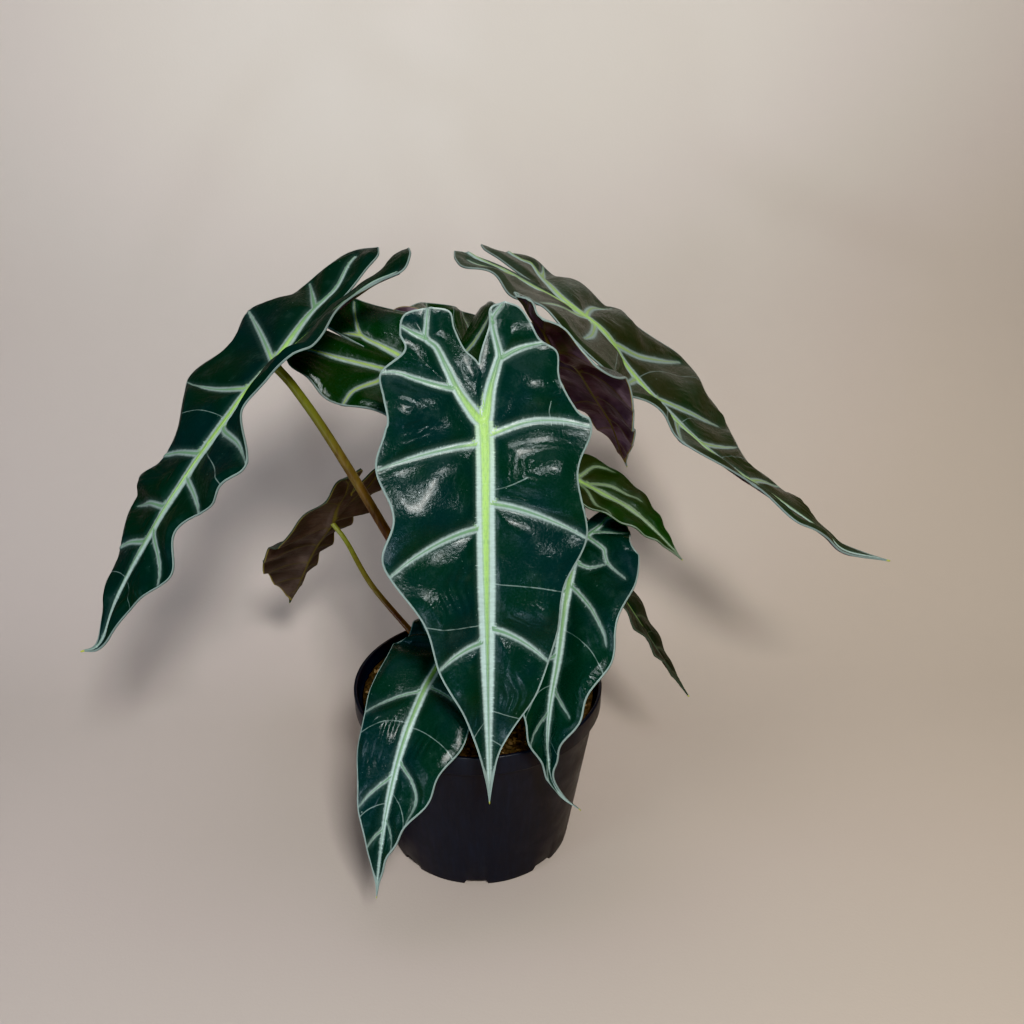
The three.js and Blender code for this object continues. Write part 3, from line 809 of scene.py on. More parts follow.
class Look:
    """A material under construction."""

    def __init__(self, name, **inputs):
        self.material = bpy.data.materials.new(name)
        self.material.use_nodes = True
        self.tree = self.material.node_tree
        self.tree.nodes.clear()
        self.shader = self.add("ShaderNodeBsdfPrincipled", inputs)
        self.add("ShaderNodeOutputMaterial", {"Surface": self.shader.outputs[0]})

    def add(self, kind, inputs=None, **options):
        node = self.tree.nodes.new(kind)
        for key, value in options.items():
            setattr(node, key, value)
        for key, value in (inputs or {}).items():
            self.put(node.inputs[key], value)
        return node

    def put(self, socket, value):
        if isinstance(value, bpy.types.NodeSocket):
            self.tree.links.new(value, socket)
        else:
            socket.default_value = value

    def finish(self, colour=None, roughness=None, normal=None):
        for key, value in (("Base Color", colour), ("Roughness", roughness), ("Normal", normal)):
            if value is not None:
                self.put(self.shader.inputs[key], value)
        return self.material

    def attribute(self, name):
        return self.add("ShaderNodeAttribute", attribute_name=name).outputs["Fac"]

    def uv(self, scale=(1, 1, 1), turn=0.0):
        inputs = {
            "Vector": self.add("ShaderNodeUVMap", uv_map="flat").outputs[0],
            "Scale": scale,
            "Rotation": (0, 0, turn),
        }
        return self.add("ShaderNodeMapping", inputs).outputs[0]

    def place(self, scale=(1, 1, 1)):
        at = self.add("ShaderNodeTexCoord").outputs["Object"]
        return self.add("ShaderNodeMapping", {"Vector": at, "Scale": scale}).outputs[0]

    def noise(self, vector, scale, detail=2.0, roughness=0.5):
        inputs = {"Vector": vector, "Scale": scale, "Detail": detail, "Roughness": roughness}
        return self.add("ShaderNodeTexNoise", inputs).outputs[0]

    def remap(self, value, low, high, first=0.0, last=1.0):
        inputs = {0: value, 1: low, 2: high, 3: first, 4: last}
        return self.add("ShaderNodeMapRange", inputs, interpolation_type="SMOOTHSTEP").outputs[0]

    def math(self, kind, a, b=0.0, c=0.0):
        return self.add("ShaderNodeMath", {0: a, 1: b, 2: c}, operation=kind).outputs[0]

    def grey(self, colour):
        return self.add("ShaderNodeSeparateColor", {0: colour}).outputs[0]

    def mix(self, share, a, b):
        a, b = [x if isinstance(x, bpy.types.NodeSocket) else (*x, 1) for x in (a, b)]
        return self.add("ShaderNodeMix", {0: share, 6: a, 7: b}, data_type="RGBA").outputs[2]

    def bump(self, height, distance, strength=1.0, normal=None):
        inputs = {"Height": height, "Distance": distance, "Strength": strength}
        if normal is not None:
            inputs["Normal"] = normal
        return self.add("ShaderNodeBump", inputs).outputs[0]


def settings(name):
    return getattr(bpy.context.scene, "plant_" + name)


def shown(obj, slot=None, *nodes):
    """Puts an object in the scene, on the frame's body, in place of CAD nodes."""
    bpy.context.scene.collection.objects.link(obj)
    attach(obj, "root")
    if nodes:
        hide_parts(*nodes)
    return obj


def scaled(colour, factor):
    return tuple(c * factor for c in colour)


def mesh_of(bm, name, materials):
    """An object of the finished bmesh, with its place in its mesh."""
    mesh = bpy.data.meshes.new(name)
    bm.to_mesh(mesh)
    bm.free()
    mesh.shade_smooth()
    for material in materials:
        mesh.materials.append(material)
    return bpy.data.objects.new(name, mesh)


def spun(bm, steps):
    """Turns a section about the Z axis into a closed body."""
    bmesh.ops.spin(
        bm,
        geom=bm.verts[:] + bm.edges[:],
        cent=(0, 0, 0),
        axis=(0, 0, 1),
        angle=2 * math.pi,
        steps=steps,
        use_merge=True,
    )
    bmesh.ops.remove_doubles(bm, verts=bm.verts[:], dist=0.005 * MM)


def section_of(bm, points):
    """A line through (radius, height) points, ready to be spun."""
    verts = [bm.verts.new((r * MM, 0, z * MM)) for r, z in points]
    for a, b in zip(verts, verts[1:]):
        bm.edges.new((a, b))
    return verts


def ramp(value, start, span):
    """Rises from 0 to 1 over a span that begins at start. With a span under 0 it falls."""
    return np.clip((value - start) / span, 0, 1)


def smooth(rows, u):
    """A smooth curve through rows of numbers, at places u counted in rows."""
    rows = np.asarray(rows, float)
    last = len(rows) - 1
    rows = np.vstack([2 * rows[0] - rows[1], rows, 2 * rows[-1] - rows[-2]])
    u = np.clip(np.atleast_1d(u), 0, last)
    i = np.minimum(u.astype(int), last - 1)
    f = (u - i)[:, None]
    a, b, c, d = rows[i], rows[i + 1], rows[i + 2], rows[i + 3]
    bend = 2 * a - 5 * b + 4 * c - d
    return 0.5 * (2 * b + (c - a) * f + bend * f * f + (3 * b - a - 3 * c + d) * f**3)


def eased(x, xs, ys):
    """Straight lines between known places, with their corners rounded."""
    return sum(np.interp(x + step, xs, ys) for step in (-0.05, -0.025, 0, 0.025, 0.05)) / 5


def unit(vectors):
    return vectors / np.linalg.norm(vectors, axis=-1, keepdims=True)


def turned(vectors, axes, angles):
    """Vectors turned about axes at right angles to them."""
    return vectors * np.cos(angles)[:, None] + np.cross(axes, vectors) * np.sin(angles)[:, None]


def line_distance(points, line, widths):
    """How far points are from a line, on which side, its half width there and its share run."""
    line = np.asarray(line, float)
    runs = np.r_[0, np.cumsum(np.linalg.norm(np.diff(line, axis=0), axis=1))]
    best = np.full(len(points), 1e9)
    share = np.zeros(len(points))
    hand = np.ones(len(points))
    for i in range(len(line) - 1):
        a, ab = line[i], line[i + 1] - line[i]
        off = points - a
        t = np.clip((off @ ab) / max(ab @ ab, 1e-12), 0, 1)
        d = np.hypot(*(off - t[:, None] * ab).T)
        near = d < best
        best = np.where(near, d, best)
        share = np.where(near, (runs[i] + t * (runs[i + 1] - runs[i])) / runs[-1], share)
        hand = np.where(near, np.where(ab[0] * off[:, 1] < ab[1] * off[:, 0], -1.0, 1.0), hand)
    half = np.interp(share, np.linspace(0, 1, len(widths)), widths)
    return best, hand, half, share


class Blade:
    """The shape of one blade, in millimetres."""

    def __init__(self, leaf):
        self.leaf = leaf
        steps = PATH_STEPS
        count = len(leaf["path"])
        points = smooth(leaf["path"], np.arange(steps * (count - 1) + 1) / steps)
        run = np.r_[0, np.cumsum(np.linalg.norm(np.diff(points, axis=0), axis=1))]
        self.lobe = run[steps]
        self.length = run[-1] - self.lobe
        past_stalk = run - self.lobe
        self.v = np.where(past_stalk < 0, past_stalk / self.lobe, past_stalk / self.length)
        self.knots = self.v[::steps]
        self.points = points
        t = points.copy()
        t[1:-1] = points[2:] - points[:-2]
        t[0], t[-1] = points[1] - points[0], points[-1] - points[-2]
        t = unit(t)
        n = np.zeros_like(points)
        n[steps] = unit(np.array([0, 0, 1]) - t[steps] * t[steps][2])
        n[steps] = turned(n[steps][None], t[steps][None], np.radians([leaf.get("roll", 0)]))[0]
        for i in range(steps + 1, len(points)):
            n[i] = unit(n[i - 1] - t[i] * (n[i - 1] @ t[i]))
        for i in range(steps - 1, -1, -1):
            n[i] = unit(n[i + 1] - t[i] * (n[i + 1] @ t[i]))
        if "twist" in leaf:
            n = turned(n, t, np.radians(eased(self.v, self.knots, leaf["twist"])))
        self.outward = n
        self.sideways = np.cross(t, n)
        self.ribs = leaf.get("ribs", [RIBS, RIBS])
        self.ends = leaf.get("ends", VEIN_ENDS)

    def frame(self, v):
        """Points of the midrib, with the directions out of the blade and across it."""
        points, outward, sideways = [
            np.stack([np.interp(v, self.v, rows[:, k]) for k in range(3)], -1)
            for rows in (self.points, self.outward, self.sideways)
        ]
        return points, unit(outward), unit(sideways)

    def vein_place(self, side, v):
        """Place along the margin, counted in side veins."""
        ends = self.ends[side]
        return np.interp(v, [ends[0] - 0.45, *ends, 1.05], np.arange(-1, len(ends) + 1))

    def flat(self, side, a, t):
        """Place (x, v) on the flat outline. a counts ribs, t runs from midrib to margin."""
        v0, x1, v1, x0 = smooth(self.ribs[side], a).T
        x0 = np.where(a >= SINUS_RIB, 0, np.maximum(x0, 0))
        swell = ramp(v1, 0.95, -0.3) * ramp(v1, -1, 0.3)
        beat = np.cos(2 * np.pi * self.vein_place(side, v1))
        margin = x1 * (1 + self.leaf["scallop"] * beat * swell)
        return x0 + (margin - x0) * t, v0 + (v1 - v0) * t

    def surface(self, side, x, v):
        """Points of the blade's middle surface."""
        c, n, s = self.frame(v)
        sign = 1 if side == 0 else -1
        fold = np.radians(eased(v, self.knots, self.leaf["fold"][side]))[:, None]
        out = s * sign * np.cos(fold) + n * np.sin(fold)
        up = n * np.cos(fold) - s * sign * np.sin(fold)
        # The margin waves down at each side vein, and the blade is domed between the veins.
        rel = np.clip(x * 3.7, 0, 1)
        beat = np.cos(2 * np.pi * self.vein_place(side, v))
        rise = -self.leaf["wave"] * rel**1.6 * beat + np.sin(np.pi * rel) * (0.5 - 0.5 * beat)
        rise = rise * ramp(v, 1, -0.25)
        return c + out * (x * self.length * self.share(side, v))[:, None] + up * rise[:, None]

    def share(self, side, v):
        """Width of one half, as a share of its outline's."""
        width = self.leaf["width"][side]
        if isinstance(width, list):
            return eased(v, self.knots, width)
        return np.full(len(v), float(width))

    def on_paper(self, side, x, v):
        """The blade laid flat, in millimetres."""
        x, v = np.asarray(x, float), np.asarray(v, float)
        along = v * np.where(v < 0, self.lobe, self.length)
        return np.stack([x * self.length * self.share(side, v), along], -1)

    def margin_x(self, side, v):
        x, place = self.flat(side, np.linspace(0.3, LAST_RIB, 300), np.ones(300))
        return np.interp(v, place, x)

    def vein_line(self, side, vein, bend=1.7):
        """The flat line of a vein given by its two ends or by points."""
        if len(vein) > 2:
            line = smooth(vein, np.linspace(0, len(vein) - 1, 8 * len(vein)))
            return self.on_paper(side, line[:, 0], line[:, 1])
        root, end = vein
        run = np.linspace(0, 1, 12)
        x = run * self.margin_x(side, end) * 0.99
        return self.on_paper(side, x, root + (end - root) * run**bend)

    def marks(self, side, x, v):
        """How far each place is from the veins, the thin veins and the margin."""
        leaf = self.leaf
        points = self.on_paper(side, x, v)
        width, middle, lime = leaf["vein"], leaf["midrib"], leaf.get("lime", 1.0)
        count = len(points)
        gap, across, half = np.full(count, FAR), np.full(count, FAR), np.ones(count)
        along, tint, heart = np.zeros(count), np.zeros(count), np.full(count, 0.3)

        def draw(line, widths, direction, hues, hearts):
            """Widths, hues and hearts run along the line. direction is 1 on the midrib."""
            nonlocal gap, across, half, along, tint, heart
            d, hand, w, share = line_distance(points, line, widths)
            near = d - w < gap
            gap = np.where(near, d - w, gap)
            across = np.where(near, d * (hand if direction < 1 else 1), across)
            half = np.where(near, w, half)
            along = np.where(near, direction, along)
            tint = np.where(near, np.interp(share, np.linspace(0, 1, len(hues)), hues), tint)
            heart = np.where(near, np.interp(share, np.linspace(0, 1, len(hearts)), hearts), heart)

        for vein in leaf.get("veins", VEINS)[side]:
            root = vein[0][1] if len(vein) > 2 else vein[0]
            hue = 0.8 * lime - 1.6 * max(root, 0)
            widths = [1.1 * width, width, 0.8 * width, 0.35 * width]
            draw(self.vein_line(side, vein), widths, 0.0, [hue, 0.0, 0.0], [0.4, 0.24, 0.12])
        # A lobe's veins are drawn on both halves, so that those beside the midrib are whole.
        for half_blade in (side, 1 - side):
            for i, vein in enumerate(leaf.get("lobe_veins", [LOBE_VEINS, LOBE_VEINS])[half_blade]):
                line = self.vein_line(half_blade, [*vein, vein[-1]] if len(vein) == 2 else vein)
                if half_blade != side:
                    line = line * (-1, 1)
                if i == 0:
                    w, root_width, direction = width * 1.5, 1.45, 0.6
                    hues = [0.85 * lime, 0.3 * lime, 0.1]
                else:
                    w, root_width, direction = width * 0.95, 1, 0.2
                    hues = [0.3 * lime, 0.0]
                widths = [w * root_width, w, w * 0.7, w * 0.35]
                draw(line, widths, direction, hues, [0.5, 0.35, 0.2])
        spine = self.on_paper(side, np.zeros(30), np.linspace(0, 1, 30))
        widths = [middle * k for k in (1, 1, 0.97, 0.75, 0.4, 0.2)]
        hues = [1.15 * lime, 0.9 * lime, 0.7 * lime, 0.45 * lime, 0.1, 0.0]
        draw(spine, widths, 1.0, hues, [0.5, 0.4, 0.3, 0.2, 0.1, 0.05])

        thread, thread_side = np.full(count, FAR), np.full(count, FAR)
        for vein in leaf.get("threads", THREADS)[side]:
            d, hand, _, _ = line_distance(points, self.vein_line(side, vein, 2.2), [1, 1])
            near = d < thread
            thread, thread_side = np.where(near, d, thread), np.where(near, d * hand, thread_side)

        margin = self.flat(side, np.linspace(0, LAST_RIB, 260), np.ones(260))
        sinus = self.flat(side, np.linspace(0, SINUS_RIB, 60), np.zeros(60))
        edges = [self.on_paper(side, *edge) for edge in (margin, sinus)]
        rim = np.minimum(*[line_distance(points, edge, [1, 1])[0] for edge in edges])
        rim = rim / leaf.get("rim", 1.0) - 1.6 * ramp(v, 0.88, 0.08)
        tint = np.maximum(tint, 1.3 * ramp(v, 0.975, 0.015))
        return {
            "vein_gap": gap,
            "vein_side": across,
            "vein_half": half,
            "vein_along": along,
            "vein_lime": tint,
            "vein_heart": heart,
            "thread_gap": thread,
            "thread_side": thread_side,
            "rim_gap": rim,
        }


# Numbers that every point of a blade carries: distances to its marks, shares, and its place on the
# flat blade.
MARKS = [
    "vein_gap",
    "vein_side",
    "vein_half",
    "vein_along",
    "vein_lime",
    "vein_heart",
    "thread_gap",
    "thread_side",
    "rim_gap",
    "flat_x",
    "flat_y",
    "under",
]


def tip_share(v):
    """0 on the blade, rising to 1 over its last tenth."""
    return ramp(v, 0.9, 0.1)


def lift(blade, side, v, marks, paper):
    """Height of the skin over the middle surface: domes between veins, bumps, ripples and ribs."""
    size = settings("blades")
    scale = 0.55 if blade.length < SMALL_BLADE else 1
    between = np.clip(marks["vein_gap"], 0, None)
    edge = ramp(marks["rim_gap"], 0, EDGE_REACH)
    edge = edge * edge * (3 - 2 * edge)
    name = blade.leaf["name"]
    seed = Vector((7.0 * len(name), 3.0 * side, ord(name[0])))
    broad = np.array([noise.noise(Vector((x * 0.075, y * 0.085, 0)) + seed) for x, y in paper])
    where = np.array([noise.noise(Vector((x * 0.04, y * 0.05, 9)) + seed) for x, y in paper])
    height = size.pucker / MM * scale * (1 - np.exp(-between / DOME_REACH) - 0.3) * edge
    height += size.crumple / MM * scale * 1.6 * broad * edge * ramp(between, 0, 4)
    # The ripples are stronger in the blade's lower part.
    low = ramp(v, 0.25, 0.25)
    rings = np.sin(2 * np.pi * between / RING_STEP + 6 * broad) * (0.35 + 1.3 * low)
    rings = rings * np.clip(4 * where - 0.2 + 0.5 * low, 0, 1)
    height += size.ripple / MM * rings * edge * ramp(between, 1.5, 3) * scale
    # A vein's middle stands proud between two grooves.
    proud = 0.3 + 0.45 * (marks["vein_along"] > 0.5)
    core = np.maximum(marks["vein_heart"] * marks["vein_half"], 0.5)
    height += proud * scale * np.exp(-((np.abs(marks["vein_side"]) / core) ** 2))
    height -= 0.15 * np.exp(-(((marks["vein_gap"] - 0.2) / 0.6) ** 2))
    return height * (1 - 0.8 * tip_share(v))


def add_half(bm, blade, side, columns, rows):
    """One half of a blade as a grid, whose points carry their marks, relief and thickness."""
    layers = bm.verts.layers
    verts = bmesh.ops.create_grid(bm, x_segments=columns, y_segments=rows, size=0.5)["verts"]
    grid = np.array([v.co for v in verts])
    x, v = blade.flat(side, (grid[:, 1] + 0.5) * LAST_RIB, grid[:, 0] + 0.5)
    end = tip_share(v)
    points = blade.surface(side, x * (1 - 0.75 * end**1.5), v)
    level = blade.frame(v)[1]
    marks = blade.marks(side, x, v)
    paper = blade.on_paper(side, x, v)
    height = lift(blade, side, v, marks, paper)
    beyond_sinus = v > blade.ribs[side][SINUS_RIB][0]
    rib = (RIB - BLADE) * np.clip(1 - np.abs(v), 0, 1) * np.exp(-((paper[:, 0] / 2.0) ** 2))
    rib = rib * beyond_sinus
    rib += 0.5 * np.exp(-np.clip(marks["vein_gap"] + 0.8, 0, None) ** 2)
    marks |= {"flat_x": paper[:, 0] / 100, "flat_y": paper[:, 1] / 100, "under": np.zeros(len(v))}
    marks |= {"relief": height, "thick": (BLADE + rib) * (1 - 0.45 * end), "tip": v}
    table = [(layers.float[name], values) for name, values in marks.items()]
    up = layers.float_vector["up"]
    for i, vert in enumerate(verts):
        vert.co = points[i] * MM
        vert[up] = level[i]
        for layer, values in table:
            vert[layer] = values[i]


def face_up(bm, upward):
    """Turns all faces to the blade's upper side."""
    bmesh.ops.recalc_face_normals(bm, faces=bm.faces[:])
    bm.normal_update()
    if sum(f.normal.dot(upward) for f in bm.faces) < 0:
        bmesh.ops.reverse_faces(bm, faces=bm.faces[:])
        bm.normal_update()


def close_blade(bm):
    """Raises the skin by its relief, and gives it an underside."""
    floats = bm.verts.layers.float
    up = bm.verts.layers.float_vector["up"]
    names = ("flat_x", "relief", "thick", "tip", "under")
    flat_x, relief, thick, tip, under = [floats[name] for name in names]
    # Beside the midrib the skin rises along one direction, so that a folded blade stays clear of
    # itself.
    for vert in bm.verts:
        share = min(abs(vert[flat_x]) * 100 / 4, 1)
        vert[up] = vert[up].lerp(vert.normal, share).normalized()
    for vert in bm.verts:
        vert.co += vert[up] * (BLADE / 2 + vert[relief]) * MM
    made = bmesh.ops.extrude_face_region(bm, geom=bm.faces[:], use_keep_orig=True)["geom"]
    for element in made:
        if isinstance(element, bmesh.types.BMVert):
            element[under] = 1.0
            element.co -= element[up] * element[thick] * MM
        elif isinstance(element, bmesh.types.BMFace):
            if min(v[tip] for v in element.verts) < ALL_GREEN:
                element.material_index = 1
    bmesh.ops.recalc_face_normals(bm, faces=bm.faces[:])


def add_flat_map(mesh):
    """Makes the UV map of the flat blade, and drops the numbers that only its making needed."""
    places = np.empty((2, len(mesh.vertices)), np.float32)
    for row, name in zip(places, ("flat_x", "flat_y")):
        mesh.attributes[name].data.foreach_get("value", row)
    corners = np.empty(len(mesh.loops), np.int32)
    mesh.loops.foreach_get("vertex_index", corners)
    mesh.uv_layers.new(name="flat").data.foreach_set("uv", places[:, corners].T.ravel())
    for name in ("flat_x", "flat_y", "relief", "thick", "tip", "up"):
        mesh.attributes.remove(mesh.attributes[name])


def blade_object(leaf, materials):
    """A closed blade: two fine grids joined at the midrib, puckered, then given an underside."""
    blade = Blade(leaf)
    spacing = settings("blades").spacing / MM * (0.75 if blade.length < SMALL_BLADE else 1)
    rows = int((blade.length + blade.lobe) / spacing * 1.05)
    columns = int(blade.length * 0.25 / spacing)
    bm = bmesh.new()
    for name in (*MARKS, "relief", "thick", "tip"):
        bm.verts.layers.float.new(name)
    bm.verts.layers.float_vector.new("up")
    for side in (0, 1):
        add_half(bm, blade, side, columns, rows)
    bmesh.ops.remove_doubles(bm, verts=bm.verts[:], dist=0.02 * MM)
    bmesh.ops.dissolve_degenerate(bm, dist=0.01 * MM, edges=bm.edges[:])
    face_up(bm, Vector(blade.frame(np.array([0.3]))[1][0]))
    close_blade(bm)
    obj = mesh_of(bm, "leaf_" + leaf["name"], materials)
    add_flat_map(obj.data)
    return obj


def blade_top_material(name, green, second, mint, core, roughness=0.27, gloss=0.32, coat=0.1):
    """Dark glossy green with pale feathered veins and a pale margin."""
    size = settings("blades")
    shader = {
        "IOR": 1.45,
        "Specular IOR Level": gloss,
        "Specular Tint": (0.8, 0.93, 1.0, 1.0),
        "Coat Weight": coat,
        "Coat Roughness": 0.2,
    }
    look = Look(name, **shader)
    along, half, heart = [look.attribute("vein_" + part) for part in ("along", "half", "heart")]
    lime = look.attribute("vein_lime")
    slow = look.noise(look.place(), 260, 2, 0.5)

    # Feathers: short strokes that leave the midrib sideways and the side veins lengthwise.
    wide = look.noise(look.uv((26, 100, 1)), 1.0, 4, 0.7)
    long = look.noise(look.uv((100, 26, 1)), 1.0, 4, 0.7)
    stroke = look.grey(look.mix(along, long, wide))
    fringe = look.math("MULTIPLY", look.remap(stroke, 0.4, 0.66), 0.18)
    spike = look.remap(slow, 0.5, 0.66, 0.0, 0.95)
    spike = look.math("MULTIPLY", look.remap(stroke, 0.52, 0.7), spike)
    feather = look.math("ADD", fringe, spike)

    # Where a vein is, and how far across it.
    across = look.math("ABSOLUTE", look.attribute("vein_side"))
    gap = look.math("SUBTRACT", across, half)
    gap = look.math("MAXIMUM", gap, look.math("SUBTRACT", look.attribute("vein_gap"), 0.4))
    ratio = look.math("DIVIDE", across, half)
    edge = look.math("SUBTRACT", gap, feather)
    vein = look.math("MULTIPLY", look.remap(edge, 0.5, -0.9), look.remap(gap, -0.4, 1.5, 1.0, 0.35))

    # A vein's colours: a bright heart, a dark seam round it and mint beside it.
    wobble = look.math("MULTIPLY_ADD", stroke, 0.16, -0.08)
    inner = look.math("SUBTRACT", look.math("ADD", ratio, wobble), heart)
    inner = look.remap(inner, 0.2, -0.22)
    bright = look.mix(look.remap(lime, 0.2, 0.9), core, size.lime)
    bright = look.mix(look.remap(look.grey(long), 0.55, 0.38, 0.0, 0.35), bright, core)
    seam = look.math("ABSOLUTE", look.math("SUBTRACT", ratio, heart))
    seam = look.remap(seam, 0.1, 0.0, 0.0, 0.25)
    pale = look.mix(along, scaled(mint, 0.72), scaled(mint, 0.93))
    pale = look.mix(look.remap(lime, 0.9, 1.3, 0.0, 0.5), pale, size.lime)
    pale = look.mix(look.remap(stroke, 0.6, 0.36, 0.0, 0.28), pale, scaled(mint, 0.55))
    vein_colour = look.mix(inner, pale, bright)
    vein_colour = look.mix(seam, vein_colour, scaled(core, 0.4))

    # Thin veins and the pale margin.
    thin = look.math("ABSOLUTE", look.attribute("thread_side"))
    thread = look.remap(slow, 0.3, 0.55, 0.45, 1.0)
    thread = look.math("MULTIPLY", look.remap(thin, 0.4, 0.1, 0.0, 0.32), thread)
    thread = look.math("MULTIPLY", thread, look.remap(look.attribute("thread_gap"), 1.2, 0.7))
    rim_gap = look.math("SUBTRACT", look.attribute("rim_gap"), 0.2)
    rim_gap = look.math("MULTIPLY_ADD", stroke, 0.4, rim_gap)
    rim = look.remap(rim_gap, size.margin / MM + 0.25, size.margin / MM - 0.3)

    # The skin, clouded and faintly specked, and all the marks on it.
    cloud = look.noise(look.place(), 28, 3, 0.55)
    skin = look.mix(look.remap(cloud, 0.38, 0.66), green, second)
    bloom = look.noise(look.place(), 130, 4, 0.65)
    skin = look.mix(look.remap(bloom, 0.5, 0.8, 0.0, 0.05), skin, mint)
    speck = look.noise(look.place(), 800, 1, 0.5)
    skin = look.mix(look.remap(speck, 0.77, 0.8, 0.0, 0.3), skin, mint)
    skin = look.mix(look.remap(gap, 2.4, 0.2, 0.0, 0.07), skin, mint)
    colour = look.mix(thread, skin, mint)
    colour = look.mix(vein, colour, vein_colour)
    edging = look.mix(look.remap(lime, 1.2, 1.3), scaled(mint, 0.52), YELLOW_TIP)
    colour = look.mix(rim, colour, edging)
    marks = look.math("MAXIMUM", vein, rim)

    # Fine wrinkles that follow the veins in patches, then pebbles, then the strokes of the veins.
    wave = look.math("MULTIPLY", look.noise(look.place(), 75, 2, 0.5), 17)
    wave = look.math("MULTIPLY_ADD", look.attribute("vein_gap"), 2.1, wave)
    patch = look.remap(look.noise(look.place(), 38, 1, 0.5), 0.52, 0.62)
    patch = look.math("MULTIPLY", patch, look.remap(slow, 0.36, 0.56))
    wrinkle = look.math("MULTIPLY", look.math("SINE", wave), patch)
    fold = look.math("MULTIPLY_ADD", wrinkle, 0.3, look.noise(look.place(), 240, 3, 0.55))
    fold = look.math("MULTIPLY", fold, look.remap(marks, 0.9, 0.1, 0.1, 1.0))
    normal = look.bump(fold, 0.0005, 0.6)
    pebble = look.noise(look.place(), 950, 3, 0.7)
    normal = look.bump(pebble, 0.00028, 0.6, normal)
    normal = look.bump(stroke, 0.0003, look.math("MULTIPLY", marks, 0.7), normal)
    shine = look.remap(pebble, 0.3, 0.7, roughness - 0.08, roughness + 0.1)
    shine = look.math("MULTIPLY_ADD", marks, 0.12, shine)
    return look.finish(colour, shine, normal)


def blade_under_material(name, ground, veins, roughness=0.42):
    """Purple brown skin with olive veins that stand proud."""
    look = Look(name, **{"IOR": 1.42, "Coat Weight": 0.15, "Coat Roughness": 0.25})
    across = look.math("ABSOLUTE", look.attribute("vein_side"))
    gap = look.math("SUBTRACT", across, look.math("MULTIPLY", look.attribute("vein_half"), 0.55))
    cloud = look.noise(look.place(), 60, 3, 0.6)
    dark = scaled(ground, 0.55)
    warm = scaled(ground, 1.5)
    skin = look.mix(look.remap(cloud, 0.35, 0.7), dark, warm)
    fibre = look.noise(look.uv((26, 200, 1), -0.22), 1.0, 4, 0.6)
    skin = look.mix(look.remap(fibre, 0.45, 0.85, 0.0, 0.35), skin, warm)
    bold = look.math("MULTIPLY_ADD", look.attribute("vein_along"), 0.6, 0.4)
    near = look.remap(look.attribute("vein_gap"), 0.6, 0.2)
    share = look.math("MULTIPLY", look.remap(gap, 0.3, -0.3), look.math("MULTIPLY", bold, near))
    colour = look.mix(share, skin, veins)
    rim = look.remap(look.attribute("rim_gap"), 0.8, 0.3, 0.0, 0.55)
    colour = look.mix(rim, colour, scaled(veins, 2.6))
    ridge = look.noise(look.uv((8, 40, 1), -0.22), 1.0, 3, 0.55)
    normal = look.bump(ridge, 0.001, 0.5)
    normal = look.bump(fibre, 0.00025, 0.5, normal)
    rough = look.remap(fibre, 0.3, 0.8, roughness - 0.06, roughness + 0.14)
    return look.finish(colour, rough, normal)


def stalk_material(name, top, base, fleck):
    """Fleshy stalk: green under the blade, brown and flecked towards the soil."""
    look = Look(name, **{"IOR": 1.42, "Coat Weight": 0.2, "Coat Roughness": 0.3})
    height = look.attribute("height")
    wander = look.noise(look.place((1, 1, 0.35)), 90, 3, 0.6)
    share = look.math("MULTIPLY_ADD", wander, 0.35, look.math("SUBTRACT", height, 0.175))
    colour = look.mix(look.remap(share, 0.25, 0.8), base, top)
    streak = look.noise(look.place((1, 1, 0.12)), 700, 3, 0.65)
    colour = look.mix(look.remap(streak, 0.5, 0.72, 0.0, 0.45), colour, fleck)
    low = look.remap(height, 0.75, 0.25, 0.0, 0.9)
    mottle = look.remap(look.noise(look.place((1, 1, 0.3)), 260, 3, 0.7), 0.5, 0.64)
    colour = look.mix(look.math("MULTIPLY", mottle, low), colour, fleck)
    normal = look.bump(streak, 0.0003, 0.5)
    rough = look.remap(streak, 0.3, 0.7, 0.34, 0.5)
    return look.finish(colour, rough, normal)


